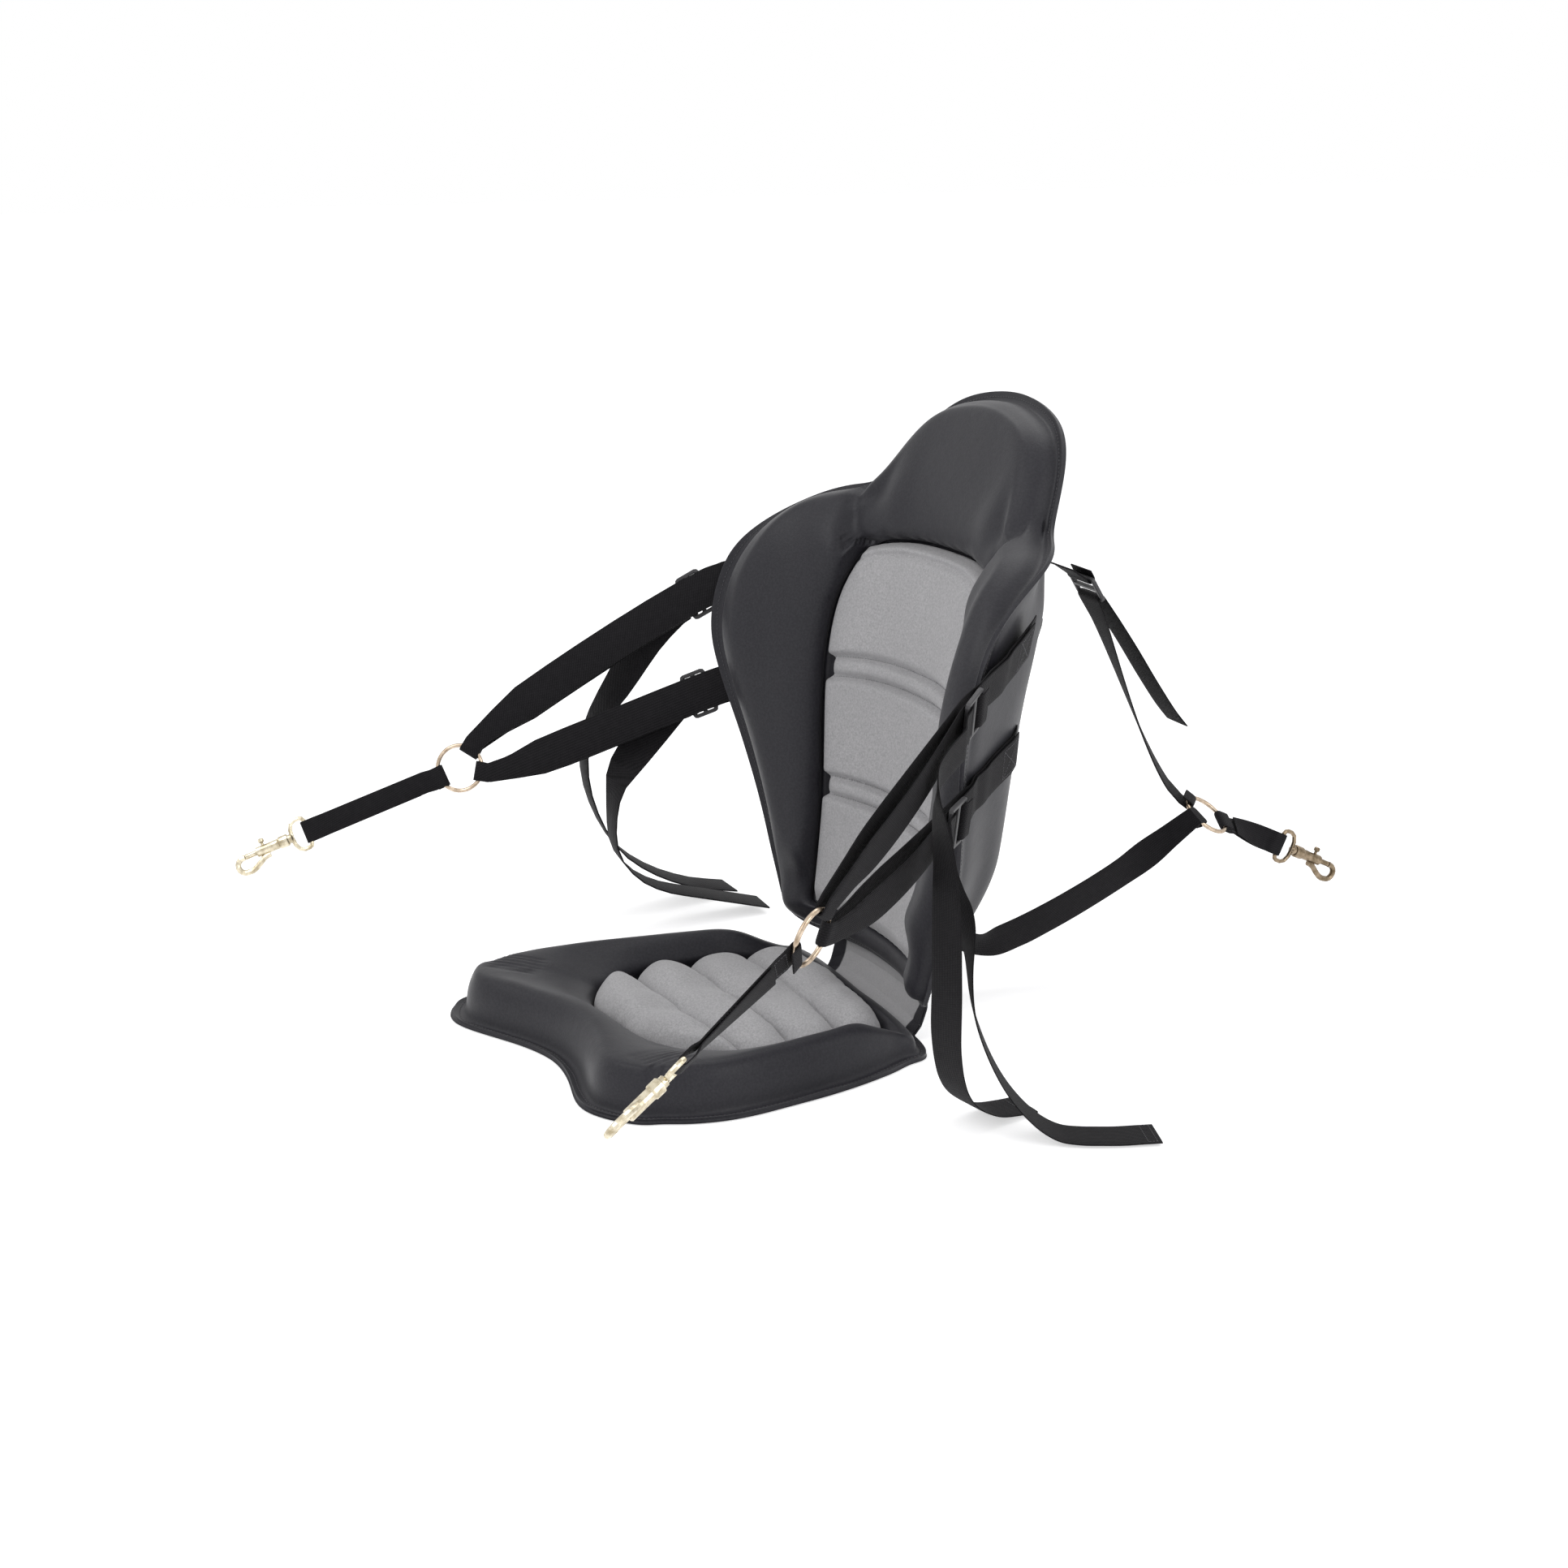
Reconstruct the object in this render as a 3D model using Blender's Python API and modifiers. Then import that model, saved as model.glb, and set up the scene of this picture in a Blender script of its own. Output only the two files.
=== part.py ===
"""Kayak seat: moulded foam base and backrest with quilted liners, harness webbing and brass snap hooks.

Frame: metres, +Z up. The sitter faces -Y and the sitter's left is +X. The origin is on the underside
of the base, at the middle of its rear edge, where the backrest is hinged on.
"""
import math
import bpy
import bmesh
from mathutils import Matrix, Vector
from mathutils.bvhtree import BVHTree

# Gaps
FIT_GAP = 0.0003
LINER_GAP = 0.0006
SEAM_GAP = 0.0006

# Seat base
BASE_HALF_WIDTH = 0.192
BASE_WIDEST_Y = -0.225
BASE_REAR_HALF_WIDTH = 0.138
BASE_REAR_Y = 0.014
BASE_LOBE_X = 0.132
BASE_LOBE_Y = -0.348
BASE_NOTCH_Y = -0.318
BASE_FLANGE = 0.004
BASE_FLANGE_WIDTH = 0.010
BASE_BOLSTER_HEIGHT = 0.047
BASE_REAR_HEIGHT = 0.022
BASE_FLOOR = 0.012

# How far the soft pieces stand askew in the shown pose; with all three at 0 the seat is symmetric
BASE_SWAY = 0.19
BACK_SWAY = 0.053
BACK_LEAN = 0.012

# Seat panel set into the base
PANEL_REAR_Y = -0.012
PANEL_FRONT_Y = -0.254
PANEL_HALF_WIDTH = 0.124
PANEL_REAR_HALF_WIDTH = 0.104
PANEL_FRONT_HALF_WIDTH = 0.090
PANEL_CORNER_DROP = 0.026
PANEL_ROLLS = 4
PANEL_THICKNESS = 0.014
PANEL_CROWN = 0.011

# Backrest
BACK_BOTTOM_Z = 0.046
BACK_BOTTOM_HALF_WIDTH = 0.146
BACK_TOP_Z = 0.594
HEAD_HALF_WIDTH = 0.134
HEAD_Z = 0.524
NECK_HALF_WIDTH = 0.150
NECK_Z = 0.498
WING_HALF_WIDTH = 0.253
WING_Z = 0.362
BACK_FLANGE = 0.002
BACK_FLANGE_WIDTH = 0.009
BACK_BOLSTER = 0.032
BACK_REAR_BULGE = 0.038
BACK_FOOT_SHARE = 0.45
BACK_FLOOR = 0.006
NECK_CREASE = 0.011
WRAP_DEPTH = 0.115
WRAP_POWER = 2.2
HEAD_WRAP_DEPTH = 0.040
RECLINE = [(0.03, 0.021), (0.20, 0.047), (0.335, 0.064), (0.435, 0.090), (0.52, 0.120), (0.61, 0.157)]

# Back panel set into the backrest
BACK_PANEL_BOTTOM_Z = 0.072
BACK_PANEL_TOP_Z = 0.446
BACK_PANEL_CORNER_DROP = 0.014
BACK_PANEL_HALF_WIDTHS = [(0.0, 0.112), (0.25, 0.122), (0.6, 0.136), (0.85, 0.138), (1.0, 0.122)]
BACK_PANEL_ROLLS = 3
BACK_PANEL_THICKNESS = 0.011
BACK_PANEL_CROWN = 0.008

# Hinge cloth
HINGE_HALF_WIDTH = 0.098
HINGE_THICKNESS = 0.002
HINGE_FOOT_Y = 0.0122
HINGE_TOP_Z = 0.092

# Webbing
WIDE_WEB = 0.038
HOOK_WEB = 0.025
HOOK_WEB_AT_EYE = 0.0235
WEB_THICKNESS = 0.0016
GATHERED_WEB = 0.0205
GATHERED_THICKNESS = 0.0024

# Rings that join the straps
RING_RADIUS = 0.024
RING_WIRE = 0.0022
RING_LOOP_ANGLE = math.radians(34)

# Ladder-lock buckles
LOCK_WIDTH = 0.0475
LOCK_BAR = 0.004
LOCK_SLOT = 0.008
LOCK_THICKNESS = 0.004
LOCK_BEND = 0.0030

# Bolt snap hooks, along their own axis
BARREL_RADIUS = 0.0054
BARREL_TOP = 0.036
COLLAR_RADIUS = 0.0066
COLLAR_TOP = 0.0105
SOCKET_RADIUS = 0.0028
SOCKET_CAVITY_RADIUS = 0.0044
SOCKET_LIP = 0.0040
SOCKET_TOP = 0.0095
BORE_RADIUS = 0.0031
BORE_BOTTOM = 0.0130
BOLT_CLEARANCE = 0.00025
BOLT_BOTTOM = 0.0220
BOLT_TRAVEL = 0.0075
KNOB_HEIGHT = 0.0275
KNOB_STEM_RADIUS = 0.0016
KNOB_RADIUS = 0.0032
KNOB_REACH = 0.0125
SLOT_CLEARANCE = 0.0009
HOOK_WIRE = 0.0031
HOOK_ARC_RADIUS = 0.0080
HOOK_ARC_Z = 0.0520
HOOK_TIP_Z = 0.0496
EYE_WIRE = 0.0023
EYE_HALF_WIDTH = 0.0165
EYE_BAR_Z = -0.0220
EYE_TOP_Z = -0.0042
EYE_CORNER = 0.0040

# Where each strap leaves the wings: its fixed end is sewn on first, its buckle stub on top of that
UPPER_EXIT_Z = 0.385
LOWER_EXIT_Z = 0.280
EXIT_SLANT = 0.50
SEAM_REACH = 0.060
LOCK_REACH = 0.050
BUCKLE_LIFT = 0.0090
SLACK = 0.40
RETURN_SLACK = 0.006
GATHER_LENGTH = 0.075

# Rings and hooks as the harness is laid out
RING_PLACES = {"L": (0.385, -0.228, 0.238), "R": (-0.384, -0.285, 0.177)}
HOOK_AIMS = {"L": (0.062, -0.176, -0.092), "R": (-0.056, -0.197, -0.080), "rear": (0.0, 0.90, -0.43)}
HOOK_TWISTS = {"L": -25.0, "R": 0.0, "rear": 62.0}
HOOK_STRAP_LENGTHS = {"L": 0.128, "R": 0.150, "rear": 0.080}
REAR_RING_PLACE = (0.0, 0.398, 0.148)
REAR_RING_FACING = (0.45, 0.50, 0.74)
REAR_LOCK_PLACE = (0.0, 0.250, 0.392)
REAR_ANCHOR_Z = 0.455
REAR_BAND_Z = 0.135
BAND_ROUTE = [(0.0, 0.110, 0.062), (0.0, 0.146, 0.046), (0.0, 0.210, 0.062), (0.0, 0.300, 0.100)]
BAND_FLAT = (0.25, -0.34, 0.90)

# Loose tails, from the buckle to the floor: routes chosen by eye
TAIL_ROUTES = {
    "upper_L": [(0.318, -0.084, 0.325), (0.338, -0.086, 0.260), (0.330, -0.078, 0.160),
                (0.306, -0.064, 0.085), (0.291, -0.044, 0.034), (0.279, -0.008, 0.0070),
                (0.274, 0.034, 0.0022)],
    "lower_L": [(0.298, -0.058, 0.226), (0.304, -0.046, 0.178), (0.308, -0.038, 0.110),
                (0.318, -0.012, 0.046), (0.338, 0.022, 0.0075), (0.358, 0.060, 0.0022),
                (0.374, 0.108, 0.0022)],
    "upper_R": [(-0.312, -0.098, 0.316), (-0.337, -0.123, 0.262), (-0.350, -0.146, 0.221),
                (-0.356, -0.156, 0.185), (-0.358, -0.149, 0.133), (-0.360, -0.122, 0.078),
                (-0.365, -0.080, 0.042), (-0.370, -0.030, 0.018), (-0.375, 0.020, 0.0050)],
    "lower_R": [(-0.291, -0.100, 0.224), (-0.297, -0.126, 0.191),
                (-0.3, -0.142, 0.161), (-0.303, -0.144, 0.102), (-0.304, -0.126, 0.067),
                (-0.305, -0.094, 0.044), (-0.306, -0.046, 0.028), (-0.306, 0.031, 0.006)],
}
TAIL_FLAT = {"upper_L": (0.95, 0.20, 0.0), "lower_L": (0.90, -0.40, 0.0),
             "upper_R": (0.93, -0.10, 0.0), "lower_R": (0.95, -0.10, 0.0)}

# Mesh fineness
SIDE_CELLS = 16
CROSS_CELLS = 8
ROLL_STEPS = (0.0, 0.10, 0.28, 0.50, 0.72, 0.90)
ROUND_SIDES = 14
TUBE_SIDES = 4


def lerp(a, b, t):
    return a + (b - a) * t


def smoothstep(low, high, value):
    t = min(1.0, max(0.0, (value - low) / (high - low)))
    return t * t * (3.0 - 2.0 * t)


def catmull(points, steps=12):
    """A smooth line through the given points."""
    ends = [points[0] * 2 - points[1]] + list(points) + [points[-1] * 2 - points[-2]]
    line = []
    for a, b, c, d in zip(ends, ends[1:], ends[2:], ends[3:]):
        for step in range(steps):
            t = step / steps
            line.append(0.5 * (2 * b + (c - a) * t + (2 * a - 5 * b + 4 * c - d) * t * t
                               + (3 * b - a - 3 * c + d) * t ** 3))
    line.append(points[-1])
    return line


def resample(line, cells):
    """The same line as evenly spaced points."""
    lengths = [0.0]
    for a, b in zip(line, line[1:]):
        lengths.append(lengths[-1] + (b - a).length)
    spots = []
    index = 0
    for step in range(cells + 1):
        target = lengths[-1] * step / cells
        while index < len(line) - 2 and lengths[index + 1] < target:
            index += 1
        span = max(1e-9, lengths[index + 1] - lengths[index])
        spots.append(line[index].lerp(line[index + 1], (target - lengths[index]) / span))
    return spots


def interpolate(table, value):
    """A smooth value from a short table of (place, value) stations."""
    places = [Vector((place, amount)) for place, amount in table]
    line = catmull(places, 8)
    for a, b in zip(line, line[1:]):
        if value <= b.x or b is line[-1]:
            return lerp(a.y, b.y, min(1.0, max(0.0, (value - a.x) / (b.x - a.x))))
    return table[-1][1]


def material(name, colour, roughness, metallic=0.0):
    made = bpy.data.materials.get(name)
    if made is None:
        made = bpy.data.materials.new(name)
        made.use_nodes = True
        shader = made.node_tree.nodes["Principled BSDF"]
        shader.inputs["Base Color"].default_value = (*colour, 1.0)
        shader.inputs["Roughness"].default_value = roughness
        shader.inputs["Metallic"].default_value = metallic
    return made


def foam():
    return material("charcoal_foam", (0.055, 0.054, 0.060), 0.62)


def quilt():
    return material("grey_quilt", (0.33, 0.32, 0.33), 0.85)


def webbing():
    return material("black_webbing", (0.028, 0.026, 0.028), 0.80)


def plastic():
    return material("black_plastic", (0.045, 0.044, 0.047), 0.42)


def brass():
    return material("brass", (0.72, 0.60, 0.38), 0.28, 1.0)


def add_object(name, mesh, finish, smooth_angle=None):
    made = bpy.data.objects.new(name, mesh)
    bpy.data.collections[COLLECTION].objects.link(made)
    made.data.materials.clear()
    made.data.materials.append(finish)
    if smooth_angle is not None:
        mesh.shade_smooth()
        mesh.set_sharp_from_angle(angle=math.radians(smooth_angle))
    return made


def mesh_from(name, rows, faces):
    """A mesh whose faces are turned outwards."""
    mesh = bpy.data.meshes.new(name)
    mesh.from_pydata([tuple(spot) for spot in rows], [], faces)
    form = bmesh.new()
    form.from_mesh(mesh)
    bmesh.ops.remove_doubles(form, verts=form.verts, dist=0.00001)
    bmesh.ops.recalc_face_normals(form, faces=form.faces)
    form.to_mesh(mesh)
    form.free()
    return mesh


# Outlines of the base and the backrest, each a right half from the far middle round to the near middle

def base_outline_parts():
    rear_corner = Vector((BASE_REAR_HALF_WIDTH, BASE_REAR_Y - BASE_FLANGE_WIDTH))
    widest = Vector((BASE_HALF_WIDTH, BASE_WIDEST_Y))
    lobe = Vector((BASE_LOBE_X, BASE_LOBE_Y))
    front = [Vector((0.0, BASE_NOTCH_Y)), Vector((BASE_LOBE_X * 0.37, lerp(BASE_NOTCH_Y, BASE_LOBE_Y, 0.30))),
             Vector((BASE_LOBE_X * 0.70, lerp(BASE_NOTCH_Y, BASE_LOBE_Y, 0.84))), lobe,
             Vector((lerp(lobe.x, widest.x, 0.54), lerp(lobe.y, widest.y, 0.16)))]
    side = [front[-1], Vector((lerp(lobe.x, widest.x, 0.88), lerp(lobe.y, widest.y, 0.53))), widest,
            Vector((lerp(widest.x, rear_corner.x, 0.27), lerp(widest.y, rear_corner.y, 0.49))),
            Vector((lerp(widest.x, rear_corner.x, 0.57), lerp(widest.y, rear_corner.y, 0.76))), rear_corner]
    rear = [rear_corner, Vector((rear_corner.x * 0.66, BASE_REAR_Y)), Vector((0.0, BASE_REAR_Y))]
    return front, side, rear


def back_outline_parts():
    neck = Vector((NECK_HALF_WIDTH, NECK_Z))
    wing = Vector((WING_HALF_WIDTH, WING_Z))
    corner = Vector((BACK_BOTTOM_HALF_WIDTH, BACK_BOTTOM_Z + BACK_FLANGE_WIDTH))
    top = [Vector((0.0, BACK_TOP_Z)), Vector((HEAD_HALF_WIDTH * 0.36, BACK_TOP_Z - 0.005)),
           Vector((HEAD_HALF_WIDTH * 0.68, lerp(BACK_TOP_Z, HEAD_Z, 0.28))),
           Vector((HEAD_HALF_WIDTH * 0.90, lerp(BACK_TOP_Z, HEAD_Z, 0.64))),
           Vector((HEAD_HALF_WIDTH, HEAD_Z)), neck]
    side = [neck, Vector((lerp(neck.x, wing.x, 0.28), lerp(neck.y, wing.y, 0.09))),
            Vector((lerp(neck.x, wing.x, 0.60), lerp(neck.y, wing.y, 0.20))),
            Vector((lerp(neck.x, wing.x, 0.85), lerp(neck.y, wing.y, 0.42))),
            Vector((lerp(neck.x, wing.x, 0.97), lerp(neck.y, wing.y, 0.70))), wing,
            Vector((lerp(wing.x, corner.x, 0.08), lerp(wing.y, corner.y, 0.18))),
            Vector((lerp(wing.x, corner.x, 0.42), lerp(wing.y, corner.y, 0.52))),
            Vector((lerp(wing.x, corner.x, 0.80), lerp(wing.y, corner.y, 0.87))), corner]
    bottom = [corner, Vector((corner.x * 0.80, BACK_BOTTOM_Z)), Vector((0.0, BACK_BOTTOM_Z))]
    return top, side, bottom


def full_outline(parts):
    """The whole outline as an even ring: far row, right side, near row, left side."""
    far, side, near = parts
    half = resample(catmull(far), CROSS_CELLS // 2)
    half += resample(catmull(side), SIDE_CELLS)[1:]
    half += resample(catmull(near), CROSS_CELLS // 2)[1:]
    mirrored = [Vector((-spot.x, spot.y)) for spot in reversed(half[1:-1])]
    return half + mirrored


def inset(ring, distance, near_share):
    """The ring moved inwards along its own normals, by a smaller share along its near row."""
    moved = []
    count = len(ring)
    turn = ring_turn(ring)
    for index, spot in enumerate(ring):
        along = (ring[(index + 1) % count] - ring[index - 1]).normalized()
        amount = distance * lerp(1.0, near_share, near_row(index))
        moved.append(spot + Vector((-along.y, along.x)) * amount * turn)
    return moved


def near_row(index):
    """1 on the row at the hinge, 0 further round the outline."""
    start = CROSS_CELLS // 2 + SIDE_CELLS
    end = start + CROSS_CELLS
    if start <= index <= end:
        return 1.0
    return max(0.0, 1.0 - min(abs(index - start), abs(index - end)) / 2.0)


def ring_turn(ring):
    area = sum(a.x * b.y - b.x * a.y for a, b in zip(ring, ring[1:] + ring[:1]))
    return 1.0 if area > 0 else -1.0


# Panels: a grid over the recess, u across from -1 to 1 and v from the near end to the far end

def seat_panel_spot(u, v):
    half = interpolate([(0.0, PANEL_REAR_HALF_WIDTH), (0.35, PANEL_HALF_WIDTH), (0.72, PANEL_HALF_WIDTH),
                        (1.0, PANEL_FRONT_HALF_WIDTH)], v)
    middle = lerp(PANEL_REAR_Y, PANEL_FRONT_Y, v)
    bow = lerp(-0.010, PANEL_CORNER_DROP, v) * abs(u) ** 3
    return Vector((u * half, middle + bow))


def back_panel_spot(u, v):
    half = interpolate(BACK_PANEL_HALF_WIDTHS, v)
    middle = lerp(BACK_PANEL_BOTTOM_Z, BACK_PANEL_TOP_Z, v)
    bow = lerp(0.002, -BACK_PANEL_CORNER_DROP, v) * abs(u) ** 3
    return Vector((u * half, middle + bow))


def panel_grid(spot_at, rows, columns):
    return [[spot_at(u, v) for u in columns] for v in rows]


def grid_border(grid):
    """The grid's border in the order of full_outline: far row right of middle first."""
    middle = len(grid[0]) // 2
    border = grid[-1][middle:]
    border += [row[-1] for row in reversed(grid[:-1])]
    border += list(reversed(grid[0][:-1]))
    border += [row[0] for row in grid[1:]]
    border += grid[-1][1:middle]
    return border


def even(count, low, high):
    return [lerp(low, high, step / count) for step in range(count + 1)]


# Backrest surface

def back_y(x, z):
    wrap = lerp(WRAP_DEPTH, HEAD_WRAP_DEPTH, smoothstep(0.425, 0.520, z))
    pose = (BACK_SWAY * x + BACK_LEAN) * lerp(0.35, 1.0, smoothstep(BACK_BOTTOM_Z, 0.20, z))
    return interpolate(RECLINE, z) + pose - wrap * (abs(x) / WING_HALF_WIDTH) ** WRAP_POWER


def back_normal(x, z):
    step = 0.002
    across = (back_y(x + step, z) - back_y(x - step, z)) / (2 * step)
    up = (back_y(x, z + step) - back_y(x, z - step)) / (2 * step)
    return Vector((across, -1.0, up)).normalized()


def back_place(spot, height):
    """A point of the backrest, height towards the sitter from its middle surface; thinner behind its foot."""
    if height < -BACK_FLANGE:
        height *= lerp(BACK_FOOT_SHARE, 1.0, smoothstep(BACK_PANEL_BOTTOM_Z, 0.20, spot.y))
    return Vector((spot.x, back_y(spot.x, spot.y), spot.y)) + back_normal(spot.x, spot.y) * height


def base_place(spot, height):
    """A point of the base; its soft front lies a little to one side of the hinge, far lobe forwards."""
    forward = smoothstep(0.0, 1.0, (BASE_REAR_Y - spot.y) / (BASE_REAR_Y - BASE_LOBE_Y))
    return Vector((spot.x, spot.y + spot.x * BASE_SWAY * forward, height))


def padded_shell(outline, grid, place, front, rear, near_share):
    """A moulded foam shell: rings run from the recess floor over the bolster, round the rim and behind.

    front and rear are (inset, blend to the recess border, height) for each ring from the rim inwards,
    and their last height is that of the grid that closes the side. near_share narrows the insets
    along the hinge.
    """
    count = len(outline)
    border = grid_border(grid)
    rows = []
    faces = []
    rings = []

    def add_ring(distance, blend, height, which):
        moved = inset(outline, distance, near_share) if distance else outline
        start = len(rows)
        for index in range(count):
            spot = moved[index].lerp(border[index], blend)
            rows.append(place(spot, height(index, blend) if callable(height) else height))
        rings.append((which, list(range(start, start + count))))

    def close(height, last):
        start = len(rows)
        width = len(grid[0])
        for row in grid:
            for spot in row:
                rows.append(place(spot, height))
        for i in range(len(grid) - 1):
            for j in range(width - 1):
                a = start + i * width + j
                faces.append((a, a + 1, a + width + 1, a + width))
        numbered = [[start + i * width + j for j in range(width)] for i in range(len(grid))]
        return join(last, grid_border(numbered))

    def join(a, b):
        for index in range(count):
            after = (index + 1) % count
            faces.append((a[index], a[after], b[after], b[index]))

    for distance, blend, height in rear[:-1]:
        add_ring(distance, blend, height, "rear")
    rear_rings = [ring for which, ring in rings]
    for a, b in zip(rear_rings, rear_rings[1:]):
        join(a, b)
    close(rear[-1], rear_rings[-1])
    for distance, blend, height in front[:-1]:
        add_ring(distance, blend, height, "front")
    front_rings = [ring for which, ring in rings if which == "front"]
    join(rear_rings[0], front_rings[0])
    for a, b in zip(front_rings, front_rings[1:]):
        join(a, b)
    close(front[-1], front_rings[-1])
    return rows, faces


def base_height(height):
    """Bolster height along the base's rim: full at the sides and front, low along the rear."""
    far = CROSS_CELLS // 2
    rear_start = far + SIDE_CELLS
    rear_end = rear_start + CROSS_CELLS

    def at(index, blend):
        if rear_start <= index <= rear_end:
            share = 1.0
        else:
            steps = min(abs(index - rear_start), abs(index - rear_end))
            share = max(0.0, 1.0 - steps / 4.0)
        share = share * share * (3 - 2 * share)
        low = lerp(BASE_FLANGE, BASE_REAR_HEIGHT, height / BASE_BOLSTER_HEIGHT)
        return min(height, lerp(height, low, share))
    return at


def back_height(height):
    """Bolster height along the backrest's rim: a crease at each neck, and low along the bottom."""
    far = CROSS_CELLS // 2
    bottom_start = far + SIDE_CELLS
    bottom_end = bottom_start + CROSS_CELLS
    necks = (far, 2 * (CROSS_CELLS + SIDE_CELLS) - far)

    def at(index, blend):
        amount = height
        if index in necks:
            amount -= NECK_CREASE * min(1.0, blend * 3.0)
        if bottom_start - 1 <= index <= bottom_end + 1:
            share = 1.0 if bottom_start < index < bottom_end else 0.55
            amount = lerp(amount, BACK_FLOOR, share * 0.75)
        return amount
    return at


def make_base_foam():
    grid = panel_grid(seat_panel_spot, even(SIDE_CELLS, 0.0, 1.0), even(CROSS_CELLS, -1.0, 1.0))
    tall = BASE_BOLSTER_HEIGHT
    flange = BASE_FLANGE_WIDTH
    crest = flange + 0.018
    front = [(0.0, 0.0, BASE_FLANGE), (flange, 0.0, BASE_FLANGE),
             (flange + 0.003, 0.0, base_height(tall * 0.5)), (flange + 0.009, 0.0, base_height(tall * 0.87)),
             (crest, 0.0, base_height(tall)), (crest, 0.30, base_height(tall * 0.97)),
             (crest, 0.60, base_height(tall * 0.86)), (crest, 0.86, base_height(tall * 0.68)),
             (crest, 0.985, base_height(tall * 0.50)), BASE_FLOOR]
    rear = [(0.0, 0.0, 0.0), (flange, 0.4, 0.0), 0.0]
    rows, faces = padded_shell(full_outline(base_outline_parts()), grid, base_place, front, rear, 0.8)
    return add_object("base_foam", mesh_from("base_foam", rows, faces), foam(), 50)


def make_back_foam():
    grid = panel_grid(back_panel_spot, even(SIDE_CELLS, 0.0, 1.0), even(CROSS_CELLS, -1.0, 1.0))
    tall = BACK_BOLSTER
    flange = BACK_FLANGE_WIDTH
    crest = flange + 0.020
    front = [(0.0, 0.0, BACK_FLANGE), (flange, 0.0, BACK_FLANGE),
             (flange + 0.003, 0.0, back_height(tall * 0.45)), (flange + 0.011, 0.0, back_height(tall * 0.82)),
             (crest, 0.0, back_height(tall)), (crest, 0.28, back_height(tall * 1.06)),
             (crest, 0.55, back_height(tall * 1.08)), (crest, 0.78, back_height(tall * 1.02)),
             (crest, 0.93, back_height(tall * 0.82)), (crest, 0.99, back_height(tall * 0.50)), BACK_FLOOR]
    bulge = -BACK_REAR_BULGE
    rear = [(0.0, 0.0, -BACK_FLANGE), (flange, 0.0, -BACK_FLANGE), (flange + 0.010, 0.0, bulge * 0.20),
            (crest, 0.25, bulge * 0.46), (crest, 0.60, bulge * 0.80), bulge]
    rows, faces = padded_shell(full_outline(back_outline_parts()), grid, back_place, front, rear, 0.45)
    return add_object("back_foam", mesh_from("back_foam", rows, faces), foam(), 50)


def quilted_panel(name, spot_at, place, rolls, floor, thickness, crown, size):
    """A sewn panel of fat rolls, scalloped along its sides."""
    rows_at = [(roll + step) / rolls for roll in range(rolls) for step in ROLL_STEPS] + [1.0]
    columns = even(CROSS_CELLS, -1.0, 1.0)
    rows = []
    width = len(columns)
    base = floor + LINER_GAP
    raised = base + thickness * 0.45
    for height_at in (lambda u, puff: base,
                      lambda u, puff: raised + puff * lerp(0.25, 1.0, 1 - abs(u) ** 3)):
        for v in rows_at:
            bulge = abs(math.sin(math.pi * rolls * v)) ** 0.6
            puff = thickness * 0.55 * bulge + crown * bulge
            shrink_v = lerp(LINER_GAP * 2, 1.0 - LINER_GAP * 2, v) if size is None else lerp(size, 1 - size, v)
            edge = 1.0 - 0.018 - 0.050 * (1.0 - bulge) ** 2
            for u in columns:
                rows.append(place(spot_at(u * edge, shrink_v), height_at(u, puff)))
    count = len(rows_at)
    faces = []
    top = count * width
    for i in range(count - 1):
        for j in range(width - 1):
            a = i * width + j
            faces.append((a, a + 1, a + width + 1, a + width))
            faces.append((top + a, top + a + width, top + a + width + 1, top + a + 1))
    numbered = [[i * width + j for j in range(width)] for i in range(count)]
    border = grid_border(numbered)
    for a, b in zip(border, border[1:] + border[:1]):
        faces.append((a, b, b + top, a + top))
    return add_object(name, mesh_from(name, rows, faces), quilt(), 60)


def make_liners():
    quilted_panel("base_liner", seat_panel_spot, base_place, PANEL_ROLLS, BASE_FLOOR, PANEL_THICKNESS,
                  PANEL_CROWN, 0.010)
    quilted_panel("back_liner", back_panel_spot, back_place, BACK_PANEL_ROLLS, BACK_FLOOR, BACK_PANEL_THICKNESS,
                  BACK_PANEL_CROWN, 0.006)


# Webbing stations: (place, width direction, width, thickness)

def travel(stations, index):
    """Direction of travel at an end station."""
    if index == 0:
        return (stations[1][0] - stations[0][0]).normalized()
    return (stations[-1][0] - stations[-2][0]).normalized()


def face_of(station, along):
    """The outer face of a station: the side away from the sitter."""
    normal = along.cross(station[1]).normalized()
    return normal if normal.y > 0 else -normal


# Finding the back of the foam, which the sewn pieces lie on

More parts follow.
